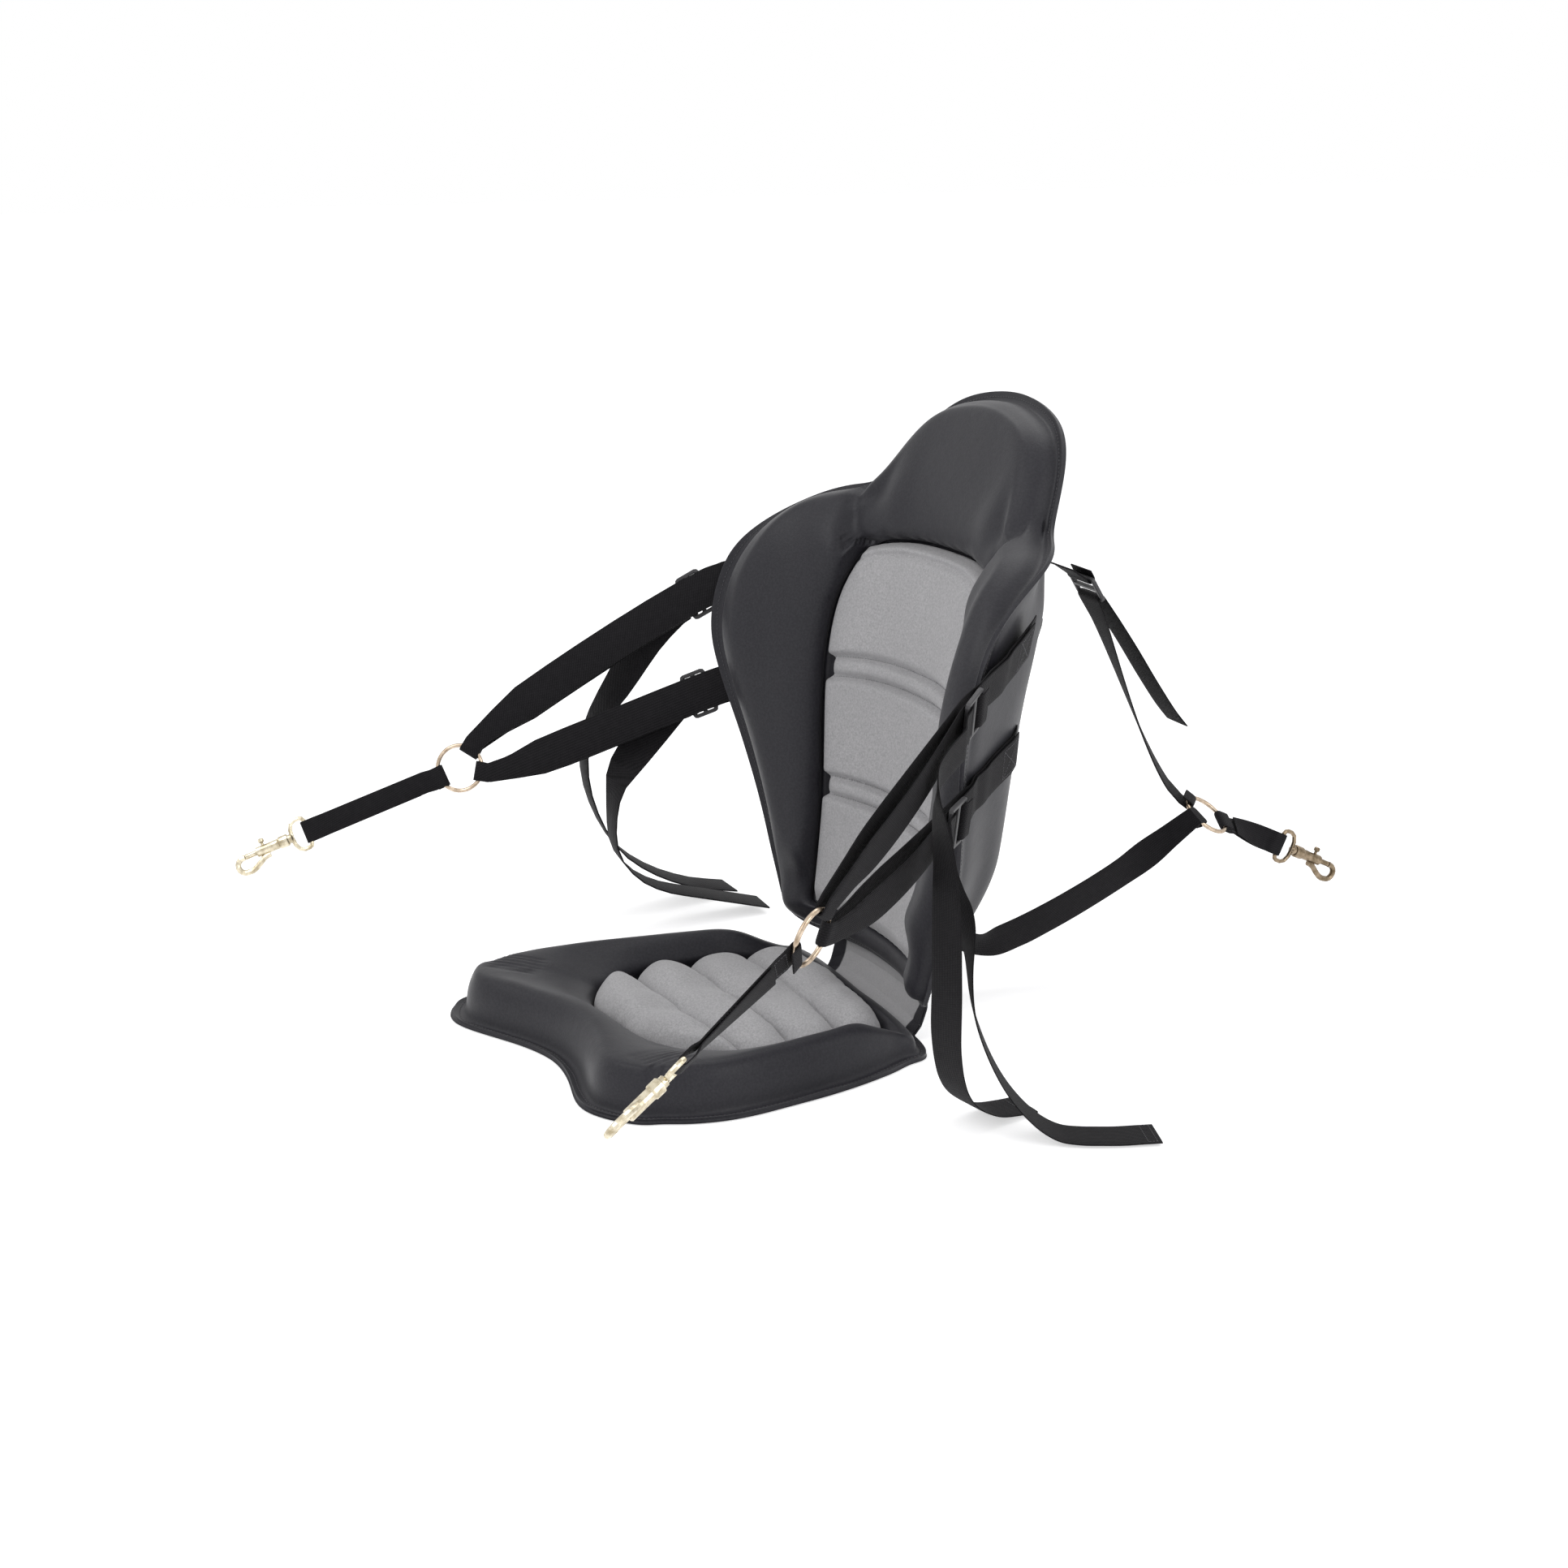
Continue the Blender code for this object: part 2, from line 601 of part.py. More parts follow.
class Surface:
    """The rear face of a built piece, met by a ray along -Y."""

    def __init__(self, owner):
        mesh = owner.data
        self.tree = BVHTree.FromPolygons([v.co.copy() for v in mesh.vertices],
                                         [tuple(p.vertices) for p in mesh.polygons])

    def behind(self, x, z):
        spot, normal, _, _ = self.tree.ray_cast(Vector((x, 0.6, z)), Vector((0, -1, 0)))
        return spot, normal

    def seat(self, x, z, half_width, half_height, lift):
        """Where a flat piece of this size rests on the surface."""
        spot, normal = self.behind(x, z)
        high = 0.0
        for across in (-1.0, -0.5, 0.0, 0.5, 1.0):
            for up in (-1.0, -0.5, 0.0, 0.5, 1.0):
                met, _ = self.behind(x + across * half_width, z + up * half_height)
                if met is not None:
                    high = max(high, (met - spot).dot(normal))
        return spot + normal * (high + lift), normal

    def inside(self, spot):
        """Whether a point is within the solid: an odd number of walls lies behind it."""
        walls = 0
        while walls < 9:
            met, _, _, _ = self.tree.ray_cast(spot, Vector((0, 1, 0)))
            if met is None:
                break
            walls += 1
            spot = met + Vector((0, 0.00001, 0))
        return walls % 2 == 1

    def cleared(self, stations, gap):
        """The stations lifted off until no part of the band between them is nearer than the gap."""
        spots = [station[0].copy() for station in stations]
        last = len(stations) - 1
        faces = []
        for index, station in enumerate(stations):
            along = (spots[min(last, index + 1)] - spots[max(0, index - 1)]).normalized()
            faces.append(face_of(station, along))
        for _ in range(30):
            lifts = [0.0] * len(stations)
            for index in range(last):
                for share in (0.0, 0.125, 0.25, 0.375, 0.5, 0.625, 0.75, 0.875, 1.0):
                    short = self.shortfall(spots, stations, index, share, gap)
                    if share < 0.6:
                        lifts[index] = max(lifts[index], short)
                    if share > 0.4:
                        lifts[index + 1] = max(lifts[index + 1], short)
            for index, lift in enumerate(lifts):
                spots[index] += faces[index] * lift
            if max(lifts) < 0.00002:
                break
        return [(spot, *station[1:]) for spot, station in zip(spots, stations)]

    def shortfall(self, spots, stations, index, share, gap):
        """How much nearer to the surface than the gap a line across the band is."""
        middle = spots[index].lerp(spots[index + 1], share)
        across = stations[index][1].lerp(stations[index + 1][1], share).normalized()
        reach = stations[index][2] / 2
        need = gap + stations[index][3] / 2
        short = 0.0
        for side in (-1.0, -0.67, -0.33, 0.0, 0.33, 0.67, 1.0):
            spot = middle + across * reach * side
            near, _, _, apart = self.tree.find_nearest(spot, need + 0.03)
            if near is None:
                continue
            if self.inside(spot):
                apart = -apart
            short = max(short, need - apart)
        return short


def make_hinge_cloth(surface):
    """The sewn strip that joins the base's rear edge to the bottom of the backrest."""
    columns = even(CROSS_CELLS, -HINGE_HALF_WIDTH, HINGE_HALF_WIDTH)
    foot = BASE_FLANGE + SEAM_GAP + HINGE_THICKNESS / 2
    rows = []
    lines = []
    for x in columns:
        low, low_normal = surface.behind(x, BACK_BOTTOM_Z + 0.013)
        low = low + low_normal * (SEAM_GAP * 3 + HINGE_THICKNESS / 2)
        line = [(Vector((x, HINGE_FOOT_Y - 0.0035, foot)), Vector((0, 0, 1))),
                (Vector((x, HINGE_FOOT_Y, foot)), Vector((0, -0.3, 1)).normalized()),
                (Vector((x, lerp(HINGE_FOOT_Y, low.y, 0.45), foot + 0.008)), Vector((0, -0.8, 0.6))),
                (Vector((x, lerp(HINGE_FOOT_Y, low.y, 0.85), foot + 0.024)), Vector((0, -0.97, 0.24))),
                (low, -low_normal)]
        for z in (0.064, 0.069, 0.073, 0.082, HINGE_TOP_Z):
            spot, normal = surface.behind(x, z)
            line.append((spot + normal * (SEAM_GAP * 3 + HINGE_THICKNESS / 2), -normal))
        lines.append(line)
    for side in (-0.5, 0.5):
        for line in lines:
            for spot, normal in line:
                rows.append(spot + normal * HINGE_THICKNESS * side)
    deep = len(lines[0])
    back = len(lines) * deep
    faces = []
    for i in range(len(lines) - 1):
        for j in range(deep - 1):
            a = i * deep + j
            faces.append((a, a + 1, a + deep + 1, a + deep))
            faces.append((back + a, back + a + deep, back + a + deep + 1, back + a + 1))
    numbered = [[i * deep + j for j in range(deep)] for i in range(len(lines))]
    border = numbered[0] + [row[-1] for row in numbered[1:]] + numbered[-1][-2::-1]
    border += [row[0] for row in reversed(numbered[1:-1])]
    for a, b in zip(border, border[1:] + border[:1]):
        faces.append((a, b, b + back, a + back))
    return add_object("hinge_cloth", mesh_from("hinge_cloth", rows, faces), webbing(), 50)


# Webbing: a flat band through stations

def ribbon(name, stations):
    rows = []
    faces = []
    count = len(stations)
    for index, (spot, across, width, thickness) in enumerate(stations):
        before = stations[max(0, index - 1)][0]
        after = stations[min(count - 1, index + 1)][0]
        along = (after - before).normalized()
        across = (across - along * across.dot(along)).normalized()
        normal = along.cross(across)
        for side, face in ((-0.5, -0.5), (0.5, -0.5), (0.5, 0.5), (-0.5, 0.5)):
            rows.append(spot + across * width * side + normal * thickness * face)
    for index in range(count - 1):
        a = index * 4
        faces += [(a, a + 1, a + 5), (a, a + 5, a + 4), (a + 3, a + 6, a + 2), (a + 3, a + 7, a + 6)]
        faces += [(a + 1, a + 2, a + 6, a + 5), (a + 3, a, a + 4, a + 7)]
    faces.append((0, 1, 2, 3))
    last = (count - 1) * 4
    faces.append((last, last + 1, last + 2, last + 3))
    return add_object(name, mesh_from(name, rows, faces), webbing())


def span(start, start_along, end, end_along, cells, start_station, end_station):
    """Stations of a free stretch between two places, without its two ends."""
    reach = (end - start).length
    made = []
    for step in range(1, cells):
        t = step / cells
        h1 = 2 * t ** 3 - 3 * t ** 2 + 1
        h2 = t ** 3 - 2 * t ** 2 + t
        h3 = 3 * t ** 2 - 2 * t ** 3
        h4 = t ** 3 - t ** 2
        spot = start * h1 + start_along * reach * h2 + end * h3 + end_along * reach * h4
        across = start_station[1].lerp(end_station[1], t)
        made.append((spot, across, lerp(start_station[2], end_station[2], t),
                     lerp(start_station[3], end_station[3], t)))
    return made


def bend(centre, first, second, radius, across, width, thickness, steps=6):
    """Stations of a half turn round a bar, from the side of first over second to the side away from first."""
    made = []
    for step in range(steps + 1):
        angle = math.pi * step / steps
        outwards = first * math.cos(angle) + second * math.sin(angle)
        made.append((centre + outwards * radius, across, width, thickness))
    return made


class RingFrame:
    """A ring's place, the axis that its straps pull along and its plane."""

    def __init__(self, centre, pull, facing):
        self.centre = Vector(centre)
        self.pull = Vector(pull).normalized()
        facing = Vector(facing)
        self.normal = (facing - self.pull * facing.dot(self.pull)).normalized()
        self.side = self.normal.cross(self.pull)

    def loop(self, angle, width, thickness):
        """Lead-in, half turn and lead-out of webbing gathered round the ring at an angle from its pull."""
        radial = self.pull * math.cos(angle) + self.side * math.sin(angle)
        across = self.normal.cross(radial)
        inner = RING_WIRE + FIT_GAP * 1.5
        radius = inner + thickness / 2
        seat = math.sqrt(RING_RADIUS ** 2 - (width / 2) ** 2) - FIT_GAP * 1.5
        centre = self.centre + radial * seat
        lead = radial * 0.010
        turn = bend(centre, self.normal, -radial, radius, across, width, thickness)
        into = (centre + lead + self.normal * radius, across, width, thickness)
        out = (centre + lead - self.normal * radius, across, width, thickness)
        return radial, [into] + turn + [out]


def make_ring(name, frame):
    bpy.ops.mesh.primitive_torus_add(major_radius=RING_RADIUS, minor_radius=RING_WIRE, major_segments=28,
                                     minor_segments=8)
    made = bpy.context.object
    made.name = name
    made.data.name = name
    for holder in list(made.users_collection):
        holder.objects.unlink(made)
    bpy.data.collections[COLLECTION].objects.link(made)
    turn = Matrix((frame.pull, frame.side, frame.normal)).transposed().to_4x4()
    made.matrix_world = Matrix.Translation(frame.centre) @ turn
    made.data.materials.append(brass())
    made.data.shade_smooth()
    return made


# Ladder-lock buckles

class LockFrame:
    """A buckle's place: the middle of its strap bar, the way the strap leaves and its outer face."""

    def __init__(self, place, along, facing):
        self.place = Vector(place)
        self.along = Vector(along).normalized()
        facing = Vector(facing)
        self.normal = (facing - self.along * facing.dot(self.along)).normalized()
        self.across = self.along.cross(self.normal)
        self.pitch = LOCK_BAR + LOCK_SLOT

    def stub_bar(self):
        return self.place - self.along * self.pitch * 2


def rounded_box(width, height, radius, at_x, at_y):
    """Corner points of a rounded rectangle, three to a corner."""
    spots = []
    for sx, sy, start in ((1, 1, 0), (-1, 1, 90), (-1, -1, 180), (1, -1, 270)):
        for step in (0, 45, 90):
            angle = math.radians(start + step)
            spots.append((at_x + sx * (width / 2 - radius) + radius * math.cos(angle),
                          at_y + sy * (height / 2 - radius) + radius * math.sin(angle)))
    return spots


def flat_plate(name, rings, thickness, rounding, turn, finish):
    """A plate with holes, cut from a flat outline."""
    curve = bpy.data.curves.new(name + "_outline", "CURVE")
    curve.dimensions = "2D"
    curve.fill_mode = "BOTH"
    curve.extrude = thickness / 2 - rounding
    curve.bevel_depth = rounding
    curve.bevel_resolution = 0
    curve.offset = -rounding
    for ring in rings:
        line = curve.splines.new("POLY")
        line.points.add(len(ring) - 1)
        for point, (x, y) in zip(line.points, ring):
            point.co = (x, y, 0.0, 1.0)
        line.use_cyclic_u = True
    maker = bpy.data.objects.new(name + "_outline", curve)
    bpy.data.collections[COLLECTION].objects.link(maker)
    bpy.context.view_layer.update()
    mesh = bpy.data.meshes.new_from_object(maker.evaluated_get(bpy.context.evaluated_depsgraph_get()))
    bpy.data.objects.remove(maker)
    form = bmesh.new()
    form.from_mesh(mesh)
    bmesh.ops.remove_doubles(form, verts=form.verts, dist=0.00002)
    bmesh.ops.recalc_face_normals(form, faces=form.faces)
    form.to_mesh(mesh)
    form.free()
    made = add_object(name, mesh, finish, 40)
    made.matrix_world = turn
    return made


def make_lock(name, frame):
    """Three bars in a frame: the stub is sewn round the first, the strap runs round the last."""
    pitch = frame.pitch
    length = 3 * LOCK_BAR + 2 * LOCK_SLOT
    slot_width = LOCK_WIDTH - 2 * LOCK_BAR
    rings = [rounded_box(LOCK_WIDTH, length, 0.004, 0.0, -pitch),
             rounded_box(slot_width, LOCK_SLOT, 0.001, 0.0, -pitch / 2),
             rounded_box(slot_width, LOCK_SLOT, 0.001, 0.0, -pitch * 1.5)]
    turn = Matrix((frame.across, frame.along, frame.across.cross(frame.along))).transposed().to_4x4()
    return flat_plate(name, rings, LOCK_THICKNESS, 0.0007, Matrix.Translation(frame.place) @ turn, plastic())


# Front harness

def rim_x(z):
    """Half width of the backrest's outline at a height below the necks."""
    line = catmull(back_outline_parts()[1])
    for above, below in zip(line, line[1:]):
        if above.y >= z >= below.y:
            return lerp(above.x, below.x, (above.y - z) / max(1e-9, above.y - below.y))
    return WING_HALF_WIDTH


def wing_run(surface, side, exit_z, reach, gap, cells=8):
    """Stations on the back of a wing, from inside its rim out to the rim."""
    sign = 1.0 if side == "L" else -1.0
    start = Vector((sign * (rim_x(exit_z) - reach), 0.0, exit_z + reach * EXIT_SLANT))
    end = Vector((sign * (rim_x(exit_z) - 0.003), 0.0, exit_z))
    spots = []
    outwards = Vector((0.0, 0.0, 0.0))
    for step in range(cells + 1):
        flat = start.lerp(end, step / cells)
        spot, _ = surface.behind(flat.x, flat.z)
        outwards -= back_normal(flat.x, flat.z)
        spots.append(spot)
    outwards.normalize()
    made = []
    for index, spot in enumerate(spots):
        along = spots[min(cells, index + 1)] - spots[max(0, index - 1)]
        across = along.cross(outwards).normalized()
        made.append((spot + outwards * (gap + WEB_THICKNESS / 2), across, WIDE_WEB, WEB_THICKNESS))
    return made


def make_front_side(surface, side):
    sign = 1.0 if side == "L" else -1.0
    ring_place = Vector(RING_PLACES[side])
    hook_aim = Vector(HOOK_AIMS[side]).normalized()
    middle = Vector((sign * 0.25, -0.04, (UPPER_EXIT_Z + LOWER_EXIT_Z) / 2))
    ring = RingFrame(ring_place, (middle - ring_place).normalized() - hook_aim, (sign * 0.70, 0.70, -0.15))
    make_ring("ring_" + side, ring)
    up = 1.0 if ring.side.z > 0 else -1.0
    for level, exit_z, turn in (("upper", UPPER_EXIT_Z, up), ("lower", LOWER_EXIT_Z, -up)):
        make_front_strap(surface, side, level, exit_z, ring, turn * RING_LOOP_ANGLE)
    make_hook_set(side, ring, hook_aim, HOOK_TWISTS[side])


def make_front_strap(surface, side, level, exit_z, ring, loop_angle):
    """One webbing: sewn to the wing, round the ring, back round the buckle's last bar, then a loose tail.

    The buckle hangs outside it on a stub that is sewn over its fixed end.
    """
    name = level + "_" + side
    radial, loop = ring.loop(loop_angle, GATHERED_WEB, GATHERED_THICKNESS)
    seam = wing_run(surface, side, exit_z, SEAM_REACH, SEAM_GAP)
    leave = travel(seam, -1)
    if (loop[0][0] - loop[-1][0]).dot(face_of(seam[-1], leave)) > 0:
        loop = list(reversed(loop))
    loop = aligned(loop, seam[-1][1])
    whole = surface.cleared(seam + free_run(seam[-1], leave, loop[0], -radial)[1:], SEAM_GAP)
    seam = whole[:len(seam)]
    go = whole[len(seam) - 1:]
    lock_station, heading = along_run(go, LOCK_REACH)
    facing = face_of(lock_station, heading)
    lock = LockFrame(lock_station[0] + facing * BUCKLE_LIFT, heading, facing)
    make_lock(name + "_buckle", lock)
    make_anchor(name + "_anchor", seam, go, lock)
    ribbon(name + "_strap", seam + go[1:-1] + loop + return_run(go, loop[-1], lock) + make_tail(name, lock))


def free_run(start, leave, end, arrive):
    """Stations of the taut stretch from a seam to a loop, both ends included."""
    reach = (end[0] - start[0]).length
    stations = span(start[0], leave * SLACK, end[0], arrive * SLACK * 0.5, 10, start, end)
    made = []
    for spot, across, _, _ in [start] + stations + [end]:
        share = smoothstep(0.006, GATHER_LENGTH, (end[0] - spot).length)
        made.append((spot, across, lerp(end[2], start[2], share), lerp(end[3], start[3], share)))
    return made


def along_run(stations, distance):
    """The station at a distance along a run, and the way the run goes there."""
    gone = 0.0
    for before, after in zip(stations, stations[1:]):
        step = (after[0] - before[0]).length
        if gone + step >= distance:
            t = (distance - gone) / step
            spot = before[0].lerp(after[0], t)
            station = (spot, before[1].lerp(after[1], t), before[2], before[3])
            return station, (after[0] - before[0]).normalized()
        gone += step
    return stations[-1], travel(stations, -1)


def run_length(stations):
    return sum((b[0] - a[0]).length for a, b in zip(stations, stations[1:]))


def make_anchor(name, seam, go, lock):
    """The buckle's stub: sewn over the strap's fixed end and folded round the first bar."""
    made = []
    whole = seam + go[1:2]
    for index, station in enumerate(seam[1:], 1):
        along = (whole[index + 1][0] - whole[index - 1][0]).normalized()
        made.append((station[0] + face_of(station, along) * (WEB_THICKNESS + SEAM_GAP * 2), *station[1:]))
    radius = LOCK_BEND + WEB_THICKNESS / 2
    across = lock.across if lock.across.dot(seam[-1][1]) > 0 else -lock.across
    turn = bend(lock.stub_bar(), -lock.normal, lock.along, radius, across, WIDE_WEB, WEB_THICKNESS)
    under = (turn[0][0] - lock.along * 0.003, across, WIDE_WEB, WEB_THICKNESS)
    fold = (turn[-1][0] - lock.along * 0.008, across, WIDE_WEB, WEB_THICKNESS)
    leave = (whole[-1][0] - whole[-3][0]).normalized()
    middle = span(made[-1][0], leave * 0.7, under[0], lock.along * 0.7, 4, made[-1], under)
    ribbon(name, made + middle + [under] + turn + [fold])


def return_run(go, ring_out, lock):
    """The strap's way back from the ring, a little slack of the outward one, and round the buckle's bar."""
    radius = LOCK_BEND + WEB_THICKNESS / 2
    across = lock.across if lock.across.dot(ring_out[1]) > 0 else -lock.across
    turn = bend(lock.place, -lock.normal, -lock.along, radius, across, WIDE_WEB, WEB_THICKNESS)
    under = (turn[0][0] + lock.along * 0.007, across, WIDE_WEB, WEB_THICKNESS)
    low = LOCK_REACH + 0.007
    whole = run_length(go)
    made = []
    cells = 8
    for step in range(1, cells):
        t = step / cells
        station, along = along_run(go, lerp(whole, low, t))
        lift = lerp(2 * (RING_WIRE + FIT_GAP * 1.5) + GATHERED_THICKNESS, BUCKLE_LIFT - radius, t)
        lift += RETURN_SLACK * math.sin(math.pi * t)
        flat = ring_out[1].lerp(across, t)
        made.append((station[0] + face_of(station, along) * lift, flat, station[2], station[3]))
    return made + [under] + turn


def aligned(stations, across):
    """The stations with their width direction turned the same way as the one given."""
    if stations[0][1].dot(across) >= 0:
        return stations
    return [(spot, -flat, width, thickness) for spot, flat, width, thickness in stations]


def make_tail(name, lock):
    """The loose end: out over the bar, down under its own weight and along the floor."""
    start = lock.place + lock.normal * (LOCK_BEND + WEB_THICKNESS / 2)
    across = lock.across if lock.across.z > 0 else -lock.across
    made = []
    for reach, lift in ((0.006, 0.0004), (0.013, 0.0024), (0.020, 0.0064)):
        made.append((start + lock.along * reach + lock.normal * lift, across, WIDE_WEB, WEB_THICKNESS))
    route = [made[-2][0], made[-1][0]] + [Vector(spot) for spot in TAIL_ROUTES[name]]
    line = resample(catmull(route)[12:], 22)[1:]
    flat = Vector(TAIL_FLAT[name]).normalized()
    if flat.dot(across) < 0:
        flat = -flat
    for index, spot in enumerate(line):
        t = (index + 1) / len(line)
        made.append((spot, across.lerp(flat, smoothstep(0.08, 0.45, t)), WIDE_WEB, WEB_THICKNESS))
    return made


# Snap hooks and their straps

def make_hook_set(side, ring, aim, twist):
    """The short doubled strap from a ring, and the snap hook on its end."""
    hook_across = Matrix.Rotation(math.radians(twist), 3, aim) @ ring.side
    bar = ring.centre + aim * (RING_RADIUS + HOOK_STRAP_LENGTHS[side])
    frame = HookFrame(bar - aim * EYE_BAR_Z, aim, hook_across)
    radial, loop = ring.loop(math.pi, HOOK_WEB * 0.92, WEB_THICKNESS)
    radius = EYE_WIRE + FIT_GAP * 1.5 + WEB_THICKNESS / 2
    loop = aligned(loop, frame.across)
    ahead = loop[-1][0].dot(frame.forward) > loop[0][0].dot(frame.forward)
    first = frame.forward if ahead else -frame.forward
    eye_turn = bend(bar, first, frame.aim, radius, frame.across, HOOK_WEB_AT_EYE, WEB_THICKNESS)
    lead = (eye_turn[0][0] - aim * 0.012, frame.across, HOOK_WEB_AT_EYE, WEB_THICKNESS)
    back = (eye_turn[-1][0] - aim * 0.012, frame.across, HOOK_WEB_AT_EYE, WEB_THICKNESS)
    cells = 14
    half_gap = WEB_THICKNESS / 2 + SEAM_GAP
    there = span(loop[-1][0], aim, lead[0], aim, cells, loop[-1], lead)
    there = pinched(there, half_gap, ring.centre, bar, lead)
    home = span(back[0], -aim, loop[0][0], -aim, cells, back, loop[0])[:-1]
    home = pinched(home, half_gap, ring.centre, bar, back)
    ribbon("hook_strap_" + side, loop + there + [lead] + eye_turn + [back] + home)
    make_hook(side, frame)


def pinched(stations, half_gap, start, end, end_edge):
    """A layer of the doubled strap drawn in against the other between its two loops."""
    axis = (end - start).normalized()
    sign = 1.0 if axis.cross(end_edge[1]).dot(end_edge[0] - end) > 0 else -1.0
    made = []
    for spot, across, width, thickness in stations:
        foot = start + axis * (spot - start).dot(axis)
        made.append((foot + axis.cross(across).normalized() * sign * half_gap, across, width, thickness))
    return made


class HookFrame:
    """A snap hook's axes: aim runs from the eye to the hook's end, across towards its spine."""

    def __init__(self, place, aim, across):
        self.place = Vector(place)
        self.aim = Vector(aim).normalized()
        across = Vector(across)
        self.across = (across - self.aim * across.dot(self.aim)).normalized()
        self.forward = self.aim.cross(self.across)

    def matrix(self):
        turn = Matrix((self.across, self.forward, self.aim)).transposed().to_4x4()
        return Matrix.Translation(self.place) @ turn


def turned(name, profile):
    """A solid of revolution about Z from a profile that starts and ends on the axis."""
    mesh = bpy.data.meshes.new(name)
    edges = [(i, i + 1) for i in range(len(profile) - 1)]
    mesh.from_pydata([(radius, 0.0, z) for radius, z in profile], edges, [])
    made = bpy.data.objects.new(name, mesh)
    bpy.data.collections[COLLECTION].objects.link(made)
    spin = made.modifiers.new("turn", "SCREW")
    spin.axis = "Z"
    spin.steps = ROUND_SIDES
    spin.render_steps = ROUND_SIDES
    spin.use_merge_vertices = True
    spin.merge_threshold = 0.00001
    return settled(made)


def bent_rod(name, spots, radius, closed=False, sides=2):
    """A round rod along a line of points, with filled ends."""
    curve = bpy.data.curves.new(name, "CURVE")
    curve.dimensions = "3D"
    curve.bevel_depth = radius
    curve.bevel_resolution = sides
    curve.use_fill_caps = not closed
    line = curve.splines.new("POLY")
    line.points.add(len(spots) - 1)
    for point, spot in zip(line.points, spots):
        point.co = (*spot, 1.0)
    line.use_cyclic_u = closed
    made = bpy.data.objects.new(name, curve)
    bpy.data.collections[COLLECTION].objects.link(made)
    return settled(made)


def settled(made):
    """The object as a plain closed mesh, with its modifiers and curves worked out."""
    bpy.context.view_layer.update()
    mesh = bpy.data.meshes.new_from_object(made.evaluated_get(bpy.context.evaluated_depsgraph_get()))
    name = made.name
    place = made.matrix_world.copy()
    bpy.data.objects.remove(made)
    form = bmesh.new()
    form.from_mesh(mesh)
    bmesh.ops.remove_doubles(form, verts=form.verts, dist=0.00002)
    bmesh.ops.recalc_face_normals(form, faces=form.faces)
    form.to_mesh(mesh)
    form.free()
    fresh = bpy.data.objects.new(name, mesh)
    bpy.data.collections[COLLECTION].objects.link(fresh)
    fresh.matrix_world = place
    return fresh


def combined(first, second, kind):
    """A Boolean of two objects, which uses both up."""
    step = first.modifiers.new("combine", "BOOLEAN")
    step.operation = kind
    step.object = second
    made = settled(first)
    bpy.data.objects.remove(second)
    return made


def block(name, low, high):
    bpy.ops.mesh.primitive_cube_add(size=1.0, location=[(a + b) / 2 for a, b in zip(low, high)])
    made = bpy.context.object
    made.name = name
    made.scale = [b - a for a, b in zip(low, high)]
    bpy.context.view_layer.update()
    made.data.transform(Matrix.Diagonal((*made.scale, 1.0)))
    made.scale = (1.0, 1.0, 1.0)
    bpy.context.view_layer.update()
    return made


def hook_body_shape():
    profile = [(0.0, SOCKET_TOP), (SOCKET_CAVITY_RADIUS, SOCKET_TOP), (SOCKET_CAVITY_RADIUS, SOCKET_LIP),
               (SOCKET_RADIUS, SOCKET_LIP), (SOCKET_RADIUS, 0.0), (COLLAR_RADIUS - 0.0008, 0.0),
               (COLLAR_RADIUS, 0.0008), (COLLAR_RADIUS, COLLAR_TOP - 0.001),
               (COLLAR_RADIUS - 0.001, COLLAR_TOP),
               (BARREL_RADIUS, COLLAR_TOP + 0.001), (BARREL_RADIUS, BARREL_TOP - 0.0006),
               (BARREL_RADIUS - 0.0006, BARREL_TOP), (BORE_RADIUS, BARREL_TOP), (BORE_RADIUS, BORE_BOTTOM),
               (0.0, BORE_BOTTOM)]
    barrel = turned("barrel", profile)
    start_x = BORE_RADIUS + HOOK_WIRE + 0.0006
    spine_x = 2 * HOOK_ARC_RADIUS
    line = [Vector((start_x, 0, BARREL_TOP - 0.013)), Vector((start_x + 0.001, 0, BARREL_TOP - 0.006)),
            Vector((lerp(start_x, spine_x, 0.62), 0, BARREL_TOP + 0.002)),
            Vector((spine_x, 0, BARREL_TOP + 0.010)), Vector((spine_x, 0, HOOK_ARC_Z))]
    spots = resample(catmull(line), 8)
    for step in range(1, 8):
        angle = math.pi * step / 8
        spots.append(Vector((HOOK_ARC_RADIUS * (1 + math.cos(angle)), 0,
                             HOOK_ARC_Z + HOOK_ARC_RADIUS * math.sin(angle))))
    spots += [Vector((0, 0, HOOK_ARC_Z)), Vector((0, 0, HOOK_TIP_Z))]
    rod = bent_rod("spine", spots, HOOK_WIRE)
    body = combined(barrel, rod, "UNION")
    travel_low = KNOB_HEIGHT - BOLT_TRAVEL - KNOB_STEM_RADIUS - SLOT_CLEARANCE
    travel_high = KNOB_HEIGHT + KNOB_STEM_RADIUS + SLOT_CLEARANCE
    half = KNOB_STEM_RADIUS + SLOT_CLEARANCE / 2
    cutter = block("slot", (-0.010, -half, travel_low), (-0.0015, half, travel_high))
    return combined(body, cutter, "DIFFERENCE")


